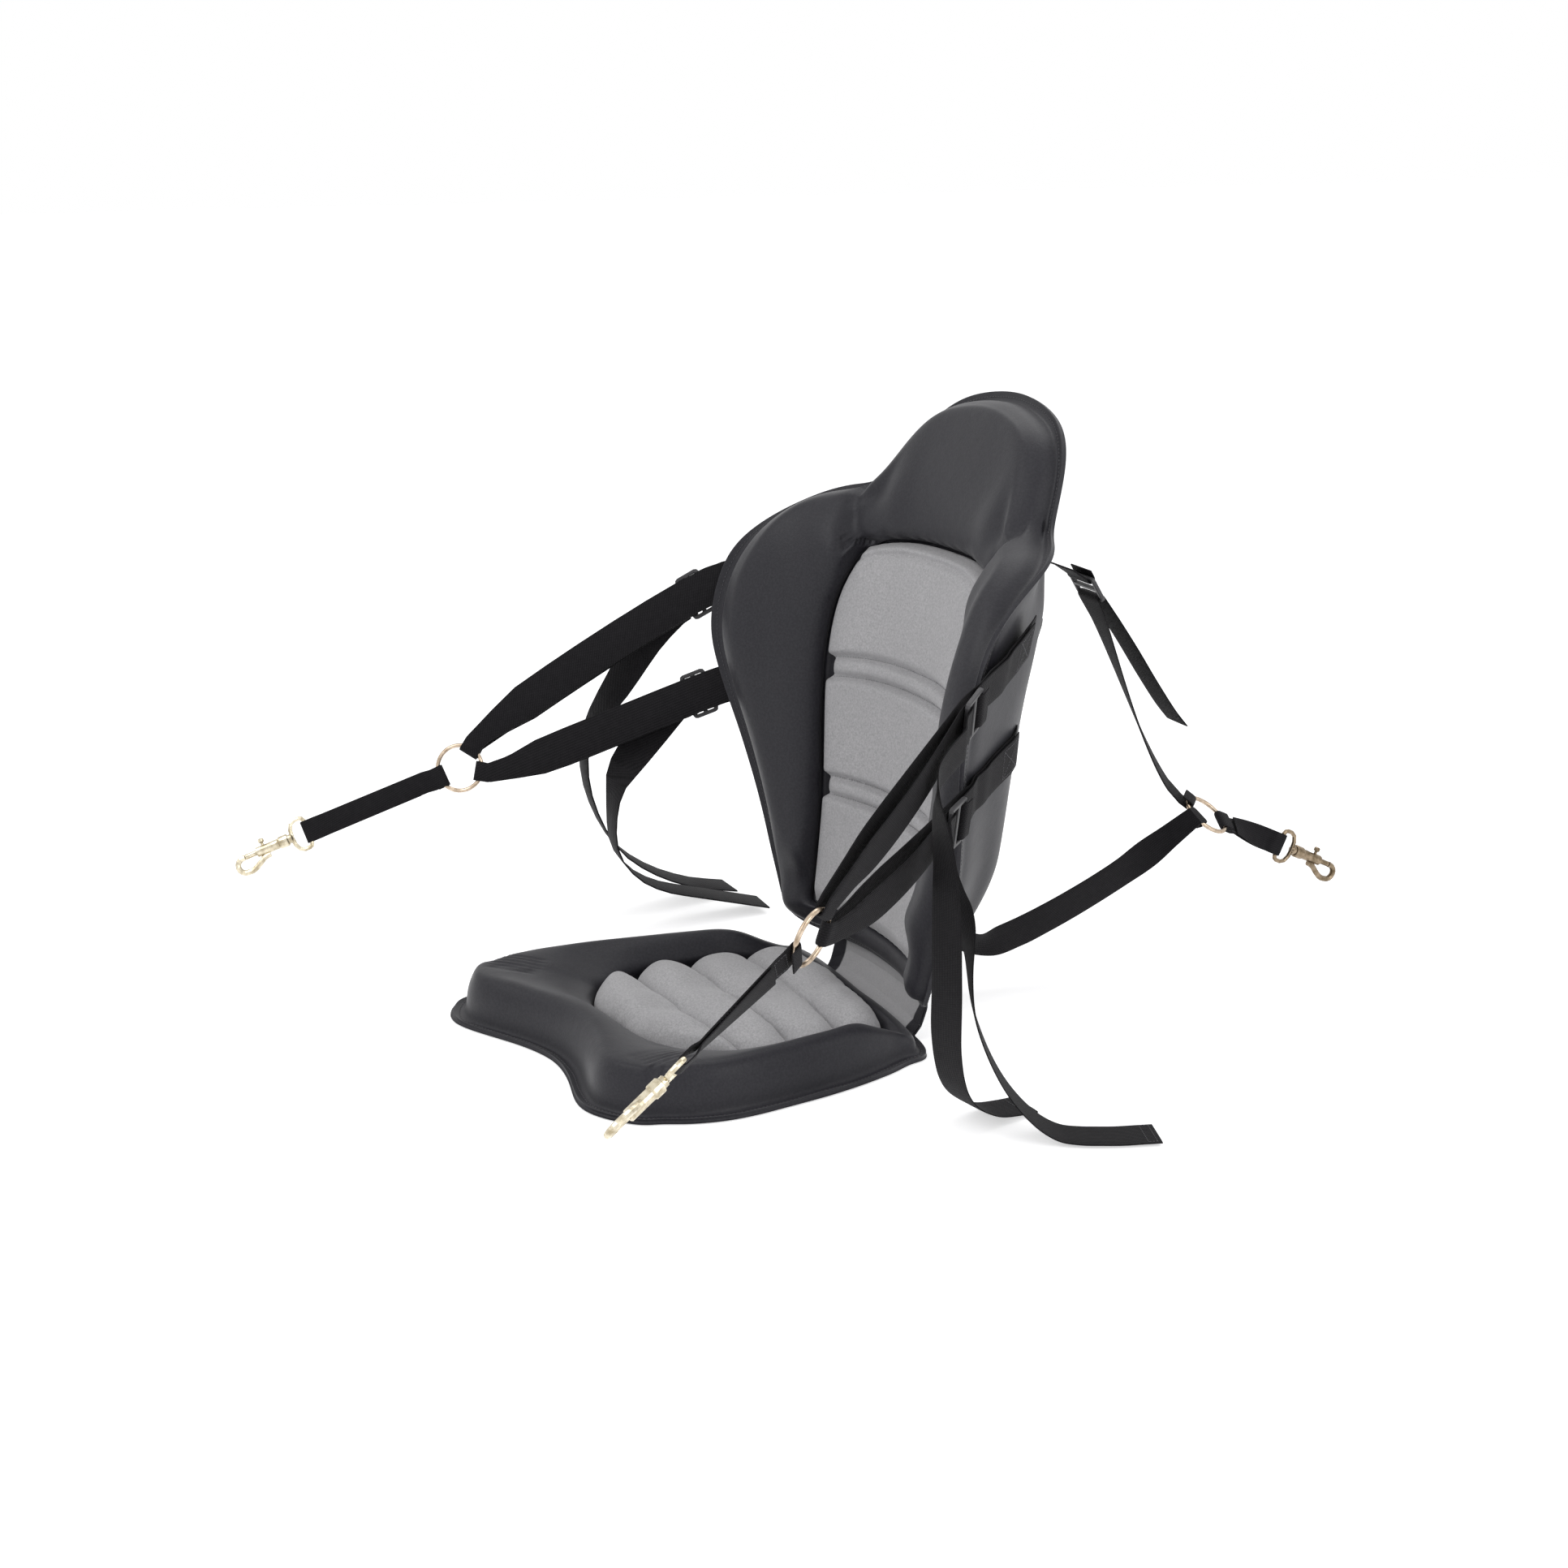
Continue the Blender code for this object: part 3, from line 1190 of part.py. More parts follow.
def bolt_shape():
    radius = BORE_RADIUS - BOLT_CLEARANCE
    top = HOOK_TIP_Z - FIT_GAP
    rod = turned("bolt_rod", [(0.0, BOLT_BOTTOM), (radius, BOLT_BOTTOM), (radius, top - 0.0008),
                              (radius - 0.0008, top), (0.0, top)])
    start = radius * 0.5
    knob = turned("knob", [(0.0, start), (KNOB_STEM_RADIUS, start), (KNOB_STEM_RADIUS, KNOB_REACH - 0.0048),
                           (KNOB_RADIUS, KNOB_REACH - 0.0040), (KNOB_RADIUS, KNOB_REACH - 0.0010),
                           (KNOB_RADIUS - 0.0012, KNOB_REACH), (0.0, KNOB_REACH)])
    knob.data.transform(Matrix.Translation((0, 0, KNOB_HEIGHT)) @ Matrix.Rotation(math.radians(-90), 4, "Y"))
    return combined(rod, knob, "UNION")


def eye_shape():
    neck = SOCKET_RADIUS - BOLT_CLEARANCE
    head = SOCKET_CAVITY_RADIUS - BOLT_CLEARANCE
    stem = turned("stem", [(0.0, SOCKET_TOP - 0.0006), (head, SOCKET_TOP - 0.0006),
                           (head, SOCKET_LIP + 0.0005),
                           (neck, SOCKET_LIP + 0.0005), (neck, -FIT_GAP), (EYE_WIRE * 2.1, -FIT_GAP),
                           (EYE_WIRE * 2.1, EYE_TOP_Z), (EYE_WIRE * 1.2, EYE_TOP_Z - 0.0016),
                           (0.0, EYE_TOP_Z - 0.0016)])
    half = EYE_HALF_WIDTH
    low = EYE_BAR_Z
    high = EYE_TOP_Z
    shape = [(-half + EYE_CORNER, low), (half - EYE_CORNER, low),
             (half - EYE_CORNER * 0.3, low + EYE_CORNER * 0.3),
             (half, low + EYE_CORNER), (half, lerp(low, high, 0.52)), (half * 0.86, lerp(low, high, 0.78)),
             (half * 0.50, lerp(low, high, 0.95)), (0.0, high), (-half * 0.50, lerp(low, high, 0.95)),
             (-half * 0.86, lerp(low, high, 0.78)), (-half, lerp(low, high, 0.52)), (-half, low + EYE_CORNER),
             (-half + EYE_CORNER * 0.3, low + EYE_CORNER * 0.3)]
    loop = bent_rod("loop", [Vector((x, 0, z)) for x, z in shape], EYE_WIRE, closed=True)
    return combined(stem, loop, "UNION")


HOOK_SHAPES = {}


def make_hook(side, frame):
    """Swivel eye, hook body and spring bolt. The three hooks share their meshes."""
    if not HOOK_SHAPES:
        for piece, shape in (("swivel_eye", eye_shape), ("snap_hook", hook_body_shape), ("bolt", bolt_shape)):
            maker = shape()
            HOOK_SHAPES[piece] = maker.data
            bpy.data.objects.remove(maker)
    for piece, mesh in HOOK_SHAPES.items():
        made = add_object(piece + "_" + side, mesh, brass(), 40)
        made.matrix_world = frame.matrix()


# Rear harness

def make_rear(surface):
    ring_place = Vector(REAR_RING_PLACE)
    aim = Vector(HOOK_AIMS["rear"]).normalized()
    ring = RingFrame(ring_place, -aim, REAR_RING_FACING)
    make_ring("ring_rear", ring)
    lock = LockFrame(REAR_LOCK_PLACE, ring_place - Vector(REAR_LOCK_PLACE), (0.0, 0.85, 0.53))
    make_lock("rear_buckle", lock)
    make_rear_anchor(surface, lock)
    up = 1.0 if ring.side.z > 0 else -1.0
    make_rear_strap(ring, lock, up)
    make_rear_band(surface, ring, -up)
    make_hook_set("rear", ring, aim, HOOK_TWISTS["rear"])


def make_rear_anchor(surface, lock):
    """Webbing sewn to the backrest and folded round the rear buckle's first bar."""
    run = centre_run(surface, REAR_ANCHOR_Z + 0.036, REAR_ANCHOR_Z)
    radius = LOCK_BEND + WEB_THICKNESS / 2
    across = lock.across if lock.across.dot(run[-1][1]) > 0 else -lock.across
    turn = bend(lock.stub_bar(), -lock.normal, lock.along, radius, across, WIDE_WEB, WEB_THICKNESS)
    under = (turn[0][0] - lock.along * 0.003, across, WIDE_WEB, WEB_THICKNESS)
    fold = (turn[-1][0] - lock.along * 0.008, across, WIDE_WEB, WEB_THICKNESS)
    outwards = (travel(run, -1) + Vector((0, 1, 0))) * 0.5
    middle = span(run[-1][0], outwards, under[0], lock.along * 0.5, 4, run[-1], under)
    ribbon("rear_anchor", run + middle + [under] + turn + [fold])


def centre_run(surface, z_from, z_to, cells=4):
    """Stations down the middle of the backrest's rear face."""
    made = []
    across = Vector((1.0, 0.0, 0.0))
    for step in range(cells + 1):
        spot, normal = surface.behind(0.0, lerp(z_from, z_to, step / cells))
        made.append((spot + normal * (SEAM_GAP + WEB_THICKNESS / 2), across, WIDE_WEB, WEB_THICKNESS))
    return surface.cleared(made, SEAM_GAP)


def make_rear_strap(ring, lock, turn_side):
    """Sewn round the ring, up to the buckle's last bar, and a tail that lies along it."""
    radial, loop = ring.loop(turn_side * RING_LOOP_ANGLE, GATHERED_WEB, GATHERED_THICKNESS)
    if (loop[0][0] - loop[-1][0]).dot(lock.normal) < 0:
        loop = list(reversed(loop))
    across = lock.across if lock.across.dot(loop[0][1]) > 0 else -lock.across
    radius = LOCK_BEND + WEB_THICKNESS / 2
    turn = bend(lock.place, -lock.normal, -lock.along, radius, across, WIDE_WEB, WEB_THICKNESS)
    under = (turn[0][0] + lock.along * 0.008, across, WIDE_WEB, WEB_THICKNESS)
    back = span(loop[-1][0], radial * 0.5, under[0], -lock.along * 0.5, 8, loop[-1], under)
    tail = []
    for reach, lift in ((0.030, 0.003), (0.070, 0.006), (0.110, 0.008), (0.150, 0.011), (0.175, 0.015)):
        tail.append((turn[-1][0] + lock.along * reach + lock.normal * lift, across, WIDE_WEB, WEB_THICKNESS))
    ribbon("rear_strap", loop + back + [under] + turn + tail)


def make_rear_band(surface, ring, turn_side):
    """The lower band: sewn to the backrest near its foot, turned on edge, and round the ring."""
    radial, loop = ring.loop(turn_side * RING_LOOP_ANGLE, GATHERED_WEB, GATHERED_THICKNESS)
    run = centre_run(surface, REAR_BAND_Z + 0.036, REAR_BAND_Z)
    start = run[-1][0]
    route = [run[-2][0], start] + [Vector(spot) for spot in BAND_ROUTE] + [loop[0][0]]
    line = resample(catmull(route[1:]), 12)
    upright = Vector(BAND_FLAT).normalized()
    if loop[0][1].dot(upright) < 0:
        loop = aligned(loop, upright)
    go = []
    for index, spot in enumerate(line[1:-1]):
        t = (index + 1) / 12
        across = run[-1][1].lerp(upright, smoothstep(0.0, 0.40, t)).lerp(loop[0][1], smoothstep(0.72, 1.0, t))
        width = lerp(WIDE_WEB, GATHERED_WEB, smoothstep(0.72, 1.0, t))
        go.append((spot, across, width, lerp(WEB_THICKNESS, GATHERED_THICKNESS, smoothstep(0.72, 1.0, t))))
    ribbon("rear_band", run + go + loop)


# Small buckles on the rear of the backrest that take a pack

def make_pack_buckles(surface):
    for side, sign in (("L", 1.0), ("R", -1.0)):
        for level, x, z in (("upper", 0.105, 0.385), ("lower", 0.100, 0.215)):
            spot, normal = surface.seat(sign * x, z, 0.016, 0.026, 0.0025 + SEAM_GAP)
            frame = LockFrame(spot, Vector((0, 0, 1)) - normal * normal.z, normal)
            rings = [rounded_box(0.030, 0.050, 0.008 if level == "upper" else 0.003, 0.0, 0.0),
                     rounded_box(0.020, 0.006, 0.001, 0.0, 0.014)]
            turn = Matrix((frame.across, frame.along, frame.across.cross(frame.along))).transposed().to_4x4()
            flat_plate("pack_buckle_" + level + "_" + side, rings, 0.005, 0.001,
                       Matrix.Translation(frame.place) @ turn, plastic())


COLLECTION = "kayak_seat"


def main():
    for old in list(bpy.data.objects):
        bpy.data.objects.remove(old)
    group = bpy.data.collections.new(COLLECTION)
    bpy.context.scene.collection.children.link(group)
    make_base_foam()
    back = make_back_foam()
    make_liners()
    surface = Surface(back)
    make_hinge_cloth(surface)
    make_front_side(surface, "L")
    make_front_side(surface, "R")
    make_rear(surface)
    make_pack_buckles(surface)


main()
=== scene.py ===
# Dressed clip-in kayak seat: studio, foam shells, quilted panels, woven webbing and metal fittings

import itertools
import math

import bmesh
import bpy
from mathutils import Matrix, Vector, noise
from mathutils.bvhtree import BVHTree

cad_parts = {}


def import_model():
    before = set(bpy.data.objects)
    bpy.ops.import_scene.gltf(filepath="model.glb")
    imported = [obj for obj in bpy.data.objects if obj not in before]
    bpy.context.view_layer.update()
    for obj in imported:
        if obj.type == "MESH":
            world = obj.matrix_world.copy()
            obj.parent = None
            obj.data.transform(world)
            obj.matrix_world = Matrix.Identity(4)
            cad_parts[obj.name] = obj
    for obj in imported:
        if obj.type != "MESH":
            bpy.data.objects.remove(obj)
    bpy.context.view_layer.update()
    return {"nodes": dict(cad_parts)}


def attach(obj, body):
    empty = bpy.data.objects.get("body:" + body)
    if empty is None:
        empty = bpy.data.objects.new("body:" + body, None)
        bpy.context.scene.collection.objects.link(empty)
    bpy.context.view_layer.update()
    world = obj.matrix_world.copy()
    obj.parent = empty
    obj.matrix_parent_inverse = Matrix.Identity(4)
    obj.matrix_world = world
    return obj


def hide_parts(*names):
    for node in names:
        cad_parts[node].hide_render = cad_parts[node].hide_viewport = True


# Camera and studio
CAMERA_PLACE = (1.981, -0.962, 0.89)
CAMERA_AZIMUTH = 66.0
CAMERA_DROP = 16.7
CAMERA_LENS = 54.99

# Base shell, metres, as in the part
BASE_HALF_WIDTH = 0.192
BASE_WIDEST_Y = -0.225
BASE_REAR_HALF_WIDTH = 0.138
BASE_REAR_Y = 0.014
BASE_LOBE_X = 0.132
BASE_LOBE_Y = -0.348
BASE_NOTCH_Y = -0.318
BASE_FLANGE = 0.004
BASE_FLANGE_WIDTH = 0.010
BASE_BOLSTER_HEIGHT = 0.047
BASE_REAR_HEIGHT = 0.022
BASE_FLOOR = 0.012
BASE_SWAY = 0.19

# Seat panel
PANEL_REAR_Y = -0.012
PANEL_FRONT_Y = -0.254
PANEL_HALF_WIDTH = 0.124
PANEL_REAR_HALF_WIDTH = 0.104
PANEL_FRONT_HALF_WIDTH = 0.090
PANEL_CORNER_DROP = 0.026
PANEL_ROLLS = 4
PANEL_THICKNESS = 0.014
PANEL_CROWN = 0.018
SEAM_SLACK = 0.58
SEAT_END_GAP = 0.010
SEAT_SOFTNESS = 0.0064
BASE_NEAR_SHARE = 0.8

# Pressed ribs near each front corner of the base
RIB_X = 0.137
RIB_Y = -0.283
RIB_Z = 0.045
RIB_SLANT = 0.55
RIB_HALF_LENGTH = 0.030
RIB_HALF_WIDTH = 0.024
RIB_PITCH = 0.0068
RIB_DEPTH = 0.0012

# Backrest shell
BACK_BOTTOM_Z = 0.046
BACK_BOTTOM_HALF_WIDTH = 0.146
BACK_TOP_Z = 0.594
HEAD_HALF_WIDTH = 0.134
HEAD_Z = 0.524
NECK_HALF_WIDTH = 0.150
NECK_Z = 0.498
WING_HALF_WIDTH = 0.253
WING_Z = 0.362
BACK_FLANGE = 0.002
BACK_FLANGE_WIDTH = 0.009
BACK_BOLSTER = 0.032
BACK_REAR_BULGE = 0.038
BACK_FOOT_SHARE = 0.45
BACK_FLOOR = 0.006
NECK_CREASE = 0.011
WRAP_DEPTH = 0.115
WRAP_POWER = 2.2
HEAD_WRAP_DEPTH = 0.040
BACK_SWAY = 0.053
BACK_LEAN = 0.012
RECLINE = [(0.03, 0.021), (0.20, 0.047), (0.335, 0.064), (0.435, 0.090), (0.52, 0.120), (0.61, 0.157)]

# Backrest panel
BACK_PANEL_BOTTOM_Z = 0.072
BACK_PANEL_TOP_Z = 0.446
BACK_PANEL_CORNER_DROP = 0.014
BACK_PANEL_HALF_WIDTHS = [(0.0, 0.112), (0.25, 0.122), (0.6, 0.136), (0.85, 0.138), (1.0, 0.122)]
BACK_PANEL_ROLLS = 3
BACK_PANEL_THICKNESS = 0.011
BACK_PANEL_CROWN = 0.008
BACK_END_GAP = 0.004
BACK_STITCH_GAP = 0.006
BACK_SOFTNESS = 0.0010
BACK_SEAM_SPREAD = 0.027
BACK_NEAR_SHARE = 0.45

# Both panels
PANEL_MARGIN = 0.012
PUCKER_DEPTH = 0.0016
GATHER_DEPTH = 0.0005

# Meshing
LINER_GAP = 0.0006
FOLD_HALF_WIDTH = 0.080
SIDE_CELLS = 16
CROSS_CELLS = 8
SHELL_LEVELS = 3
WEB_STEP = 0.0030
WEB_CELLS = 8
WELD_DISTANCE = 0.00002
WEB_EDGE = 0.0004
SHARP_ANGLE = math.radians(50)

# Stitches: pitch, length, thread radius and height over the cloth
RIM_STITCH = (0.0042, 0.0029, 0.00038, 0.00015)
SEAM_STITCH = (0.0036, 0.0026, 0.0004, 0.00015)
BOX_STITCH = (0.0030, 0.0022, 0.00036, 0.00005)

# Webbing weave, rings and fold cloth
WEB_RIB_PITCH = 0.0021
WEB_PICK_PITCH = 0.0024
RING_WIRE = 0.0022
RING_WELD = 0.07
RING_CELLS = 72
RING_SIDES = 16
FOLD_CELL = 0.0045
FOLD_CREASE = 0.0006
FOLD_PUCKER = 0.0004

# Colours: a pair is a darker and a lighter tone, and a single one is laid over them
FOAM_TONES = ((0.0085, 0.0080, 0.0118), (0.0155, 0.0149, 0.0205))
FOAM_LINT = (0.038, 0.037, 0.044)
# Lighter tone for the foam's outer edges: partly rubbing wear, partly a painted highlight
FOAM_RUBBED_AND_HIGHLIGHT = (0.085, 0.084, 0.093)
KNIT_TONES = ((0.345, 0.340, 0.350), (0.530, 0.524, 0.536))
KNIT_SHADE = (0.340, 0.336, 0.348)
SKIN_TONES = ((0.012, 0.012, 0.016), (0.026, 0.025, 0.031))
WEB_TONES = ((0.004, 0.0038, 0.0045), (0.015, 0.014, 0.016))
WEB_FUZZ = (0.021, 0.0198, 0.022)
PLASTIC_TONES = ((0.026, 0.025, 0.028), (0.042, 0.041, 0.044))
PLASTIC_WORN = (0.115, 0.113, 0.118)
DARK_THREAD_TONES = ((0.045, 0.044, 0.050), (0.085, 0.083, 0.092))
GREY_THREAD_TONES = ((0.17, 0.168, 0.175), (0.30, 0.298, 0.305))

# Brass: its bright tone, its dull tone (used for tarnish and for the painted shade in hollows) and its share
# of tarnish
BRASS_BRIGHT = ((0.78, 0.71, 0.55), (0.28, 0.22, 0.12), 0.75)
BRASS_DULL = ((0.34, 0.265, 0.185), (0.11, 0.078, 0.042), 0.9)
BRASS_RING = ((0.66, 0.54, 0.42), (0.27, 0.19, 0.12), 0.75)

# Lights: name, place, aim, side of the square and power
LIGHTS = [
    ("key", (0.4, -2.4, 2.6), (0.0, -0.05, 0.25), 1.8, 28.0),
    ("side", (2.4, 0.9, 1.6), (0.0, 0.0, 0.25), 1.4, 19.0),
    ("top", (-0.9, 0.9, 2.6), (0.0, 0.0, 0.30), 1.6, 14.0),
]
WORLD_GLOW = 0.60
FLOOR_COLOUR = (0.86, 0.86, 0.87)
FLOOR_GLOW = 0.55
FLOOR_REACH = 14.0
FLOOR_Z = -0.0012


def lerp(a, b, t):
    return a + (b - a) * t


def smoothstep(low, high, value):
    t = min(1.0, max(0.0, (value - low) / (high - low)))
    return t * t * (3.0 - 2.0 * t)


def spline(a, b, c, d, t):
    """A point from b to c on the smooth line through four points."""
    return 0.5 * (2 * b + (c - a) * t + (2 * a - 5 * b + 4 * c - d) * t * t
                  + (3 * b - a - 3 * c + d) * t ** 3)


def catmull(points, steps=12):
    """A smooth line through the given points."""
    ends = [points[0] * 2 - points[1]] + list(points) + [points[-1] * 2 - points[-2]]
    line = []
    for group in zip(ends, ends[1:], ends[2:], ends[3:]):
        line += [spline(*group, step / steps) for step in range(steps)]
    line.append(points[-1])
    return line


def resample(line, cells):
    """The same line as evenly spaced points."""
    lengths = [0.0]
    for a, b in zip(line, line[1:]):
        lengths.append(lengths[-1] + (b - a).length)
    spots = []
    index = 0
    for step in range(cells + 1):
        target = lengths[-1] * step / cells
        while index < len(line) - 2 and lengths[index + 1] < target:
            index += 1
        share = max(1e-9, lengths[index + 1] - lengths[index])
        spots.append(line[index].lerp(line[index + 1], (target - lengths[index]) / share))
    return spots


def interpolate(table, value):
    """A smooth value from a short table of (place, value) stations."""
    places = [Vector((place, amount)) for place, amount in table]
    line = catmull(places, 8)
    for a, b in zip(line, line[1:]):
        if value <= b.x or b is line[-1]:
            return lerp(a.y, b.y, min(1.0, max(0.0, (value - a.x) / (b.x - a.x))))
    return table[-1][1]


def even(count, low, high):
    return [lerp(low, high, step / count) for step in range(count + 1)]


# Node materials

class Shading:
    """The nodes of a material or world, with short ways to add to them."""

    def __init__(self, owner):
        owner.use_nodes = True
        self.tree = owner.node_tree

    def feed(self, socket, value):
        """Sets an input from a number, a colour or another node's socket."""
        if isinstance(value, bpy.types.NodeSocket):
            self.tree.links.new(value, socket)
        else:
            socket.default_value = value + (1.0,) if isinstance(value, tuple) else value

    def put(self, node, **inputs):
        for name, value in inputs.items():
            self.feed(node.inputs[name.replace("_", " ")], value)
        return node

    def add(self, kind, **inputs):
        return self.put(self.tree.nodes.new("ShaderNode" + kind), **inputs)

    def noise(self, scale, detail=3.0, roughness=0.55):
        made = self.add("TexNoise", Vector=self.place(), Scale=scale, Detail=detail, Roughness=roughness)
        return made.outputs["Fac"]

    def cells(self, scale):
        return self.add("TexVoronoi", Vector=self.place(), Scale=scale).outputs["Distance"]

    def math(self, operation, *values):
        made = self.add("Math")
        made.operation = operation
        for socket, value in zip(made.inputs, values):
            self.feed(socket, value)
        return made.outputs[0]

    def span(self, value, low, high, to_low, to_high):
        made = self.add("MapRange", Value=value, From_Min=low, From_Max=high, To_Min=to_low, To_Max=to_high)
        return made.outputs["Result"]

    def mix(self, factor, first, second):
        """A colour between two others."""
        made = self.add("Mix")
        made.data_type = "RGBA"
        for index, value in ((0, factor), (6, first), (7, second)):
            self.feed(made.inputs[index], value)
        return made.outputs[2]

    def bump(self, height, distance, strength, **before):
        made = self.add("Bump", Height=height, Distance=distance, Strength=strength, **before)
        return made.outputs["Normal"]

    def place(self, kind="Object"):
        return self.add("TexCoord").outputs[kind]

    def split(self, place):
        return self.add("SeparateXYZ", Vector=place).outputs

    def curvature_share(self, low, high, hollow, edge):
        """One amount in hollows and another on outer edges."""
        return self.span(self.add("NewGeometry").outputs["Pointiness"], low, high, hollow, edge)

    def seen_ray(self):
        """1 for the rays that show the background itself, or show it in a reflection."""
        path = self.add("LightPath").outputs
        shown = self.math("MAXIMUM", path["Is Camera Ray"], path["Is Glossy Ray"])
        return self.math("MAXIMUM", shown, path["Is Transmission Ray"])

    def surface(self, **inputs):
        self.put(self.tree.nodes["Principled BSDF"], **inputs)


def new_material(name, roughness, metallic=0.0, sheen=0.0, specular=0.5):
    made = bpy.data.materials.new(name)
    shade = Shading(made)
    shade.surface(Roughness=roughness, Metallic=metallic, Sheen_Weight=sheen, Sheen_Roughness=0.45,
                  Specular_IOR_Level=specular)
    return made, shade


def foam_material():
    """Smooth matt fabric laminated over closed-cell foam: fine knit, soft unevenness, and lighter outer edges
    that are partly rubbing wear and partly a painted highlight.
    """
    made, shade = new_material("charcoal_foam_skin", 0.55, 0.0, 0.10, 0.32)
    broad = shade.noise(7.0, 4.0)
    tone = shade.mix(broad, *FOAM_TONES)
    tone = shade.mix(shade.span(shade.noise(420.0, 2.0), 0.35, 0.75, 0.0, 0.35), tone, FOAM_LINT)
    # Painted highlight: outer edges lighter, partly rubbing wear and partly standing in for the light caught
    # along the bolster ridges
    tone = shade.mix(shade.curvature_share(0.52, 0.60, 0.0, 0.30), tone, FOAM_RUBBED_AND_HIGHLIGHT)
    normal = shade.bump(shade.cells(780.0), 0.0002, 0.35)
    normal = shade.bump(shade.noise(38.0, 2.0), 0.0016, 0.30, Normal=normal)
    shade.surface(Base_Color=tone, Roughness=shade.span(broad, 0.3, 0.7, 0.42, 0.53), Normal=normal)
    return made


def quilt_material():
    """Heathered grey knit: mottled yarn, a fine rib and a soft sheen."""
    made, shade = new_material("heather_quilt", 0.86, 0.0, 0.30, 0.18)
    heather = shade.span(shade.noise(520.0, 3.0, 0.7), 0.32, 0.68, 0.0, 1.0)
    broad = shade.span(shade.noise(11.0, 3.0), 0.3, 0.7, 0.0, 0.28)
    tone = shade.mix(broad, shade.mix(heather, *KNIT_TONES), KNIT_SHADE)
    rib = shade.add("TexWave", Vector=shade.place(), Scale=230.0, Distortion=0.6, Detail_Scale=40.0)
    rib.bands_direction = "X"
    normal = shade.bump(rib.outputs["Fac"], 0.0002, 0.30)
    normal = shade.bump(shade.cells(900.0), 0.0003, 0.35, Normal=normal)
    shade.surface(Base_Color=tone, Normal=normal)
    return made


def fold_material(half_width):
    """The fold's cloth: the panels' grey knit in its middle, the shells' dark skin at both ends."""
    made, shade = new_material("fold_cloth", 0.80, 0.0, 0.20, 0.20)
    away = shade.math("ABSOLUTE", shade.split(shade.place())["X"])
    dark = shade.span(away, half_width - 0.001, half_width + 0.001, 0.0, 1.0)
    heather = shade.noise(520.0, 3.0, 0.7)
    tone = shade.mix(dark, shade.mix(heather, *KNIT_TONES), shade.mix(heather, *SKIN_TONES))
    shade.surface(Base_Color=tone, Normal=shade.bump(shade.cells(860.0), 0.0003, 0.35))
    return made


def add_ridges(shade, place, pitch, shift=0.0):
    """Rounded ridges across a place, one each pitch."""
    turn = shade.math("MULTIPLY_ADD", place, math.pi / pitch, shift)
    return shade.math("ABSOLUTE", shade.math("SINE", turn))


def webbing_material():
    """Woven polyester webbing: lengthwise ribs crossed by picks, from the strap's own length and width."""
    made, shade = new_material("woven_webbing", 0.72, 0.0, 0.04, 0.12)
    strap = shade.split(shade.place("UV"))
    rib = add_ridges(shade, strap["X"], WEB_RIB_PITCH)
    row = shade.math("FLOOR", shade.math("DIVIDE", strap["X"], WEB_RIB_PITCH))
    shift = shade.math("MULTIPLY", shade.math("MODULO", row, 2.0), math.pi / 2)
    pick = add_ridges(shade, strap["Y"], WEB_PICK_PITCH, shift)
    weave = shade.math("MULTIPLY", rib, shade.math("MULTIPLY_ADD", pick, 0.6, 0.4))
    fuzz = shade.span(shade.noise(160.0, 3.0), 0.4, 0.8, 0.0, 0.35)
    tone = shade.mix(fuzz, shade.mix(weave, *WEB_TONES), WEB_FUZZ)
    shade.surface(Base_Color=tone, Normal=shade.bump(weave, 0.0005, 0.60))
    return made


def plastic_material():
    """Satin moulded acetal with a fine grain and scuffed edges."""
    made, shade = new_material("moulded_plastic", 0.40, 0.0, 0.0, 0.38)
    broad = shade.noise(45.0, 3.0)
    tone = shade.mix(shade.curvature_share(0.52, 0.62, 0.0, 0.45), shade.mix(broad, *PLASTIC_TONES), PLASTIC_WORN)
    shade.surface(Base_Color=tone, Roughness=shade.span(broad, 0.3, 0.7, 0.32, 0.48),
                  Normal=shade.bump(shade.noise(900.0, 2.0), 0.0001, 0.30))
    return made


def brass_material(name, bright, dull, tarnish):
    """Cast and tumbled brass with patchy tarnish and small pits, and painted shade: its dull tone laid into
    its hollows.
    """
    made, shade = new_material(name, 0.27, 1.0)
    cloud = shade.noise(130.0, 4.0)
    tone = shade.mix(shade.span(cloud, 0.38, 0.66, 0.0, tarnish), bright, dull)
    # Painted shade: the dull tone laid into the hollows stands in for their shading
    tone = shade.mix(shade.curvature_share(0.44, 0.505, 0.90, 0.0), tone, dull)
    normal = shade.bump(shade.noise(1100.0, 2.0), 0.0001, 0.25)
    normal = shade.bump(cloud, 0.0004, 0.25, Normal=normal)
    shade.surface(Base_Color=tone, Roughness=shade.span(cloud, 0.3, 0.8, 0.20, 0.42), Normal=normal)
    return made


def thread_material(name, low, high):
    """Twisted bonded thread."""
    made, shade = new_material(name, 0.62, 0.0, 0.2, 0.4)
    twist = shade.noise(1400.0, 1.0)
    shade.surface(Base_Color=shade.mix(twist, low, high), Normal=shade.bump(twist, 0.0001, 0.4))
    return made


# Making pieces

def add_object(name, data):
    made = bpy.data.objects.new(name, data)
    bpy.context.scene.collection.objects.link(made)
    return made


def new_piece(name, mesh, finish, body, replaced=()):
    made = add_object(name, mesh)
    made.data.materials.clear()
    made.data.materials.append(finish)
    mesh.shade_smooth()
    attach(made, body)
    if replaced:
        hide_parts(*replaced)
    return made


def mesh_from(name, rows, faces):
    mesh = bpy.data.meshes.new(name)
    mesh.from_pydata([tuple(spot) for spot in rows], [], faces)
    form = bmesh.new()
    form.from_mesh(mesh)
    bmesh.ops.recalc_face_normals(form, faces=form.faces)
    form.to_mesh(mesh)
    form.free()
    return mesh


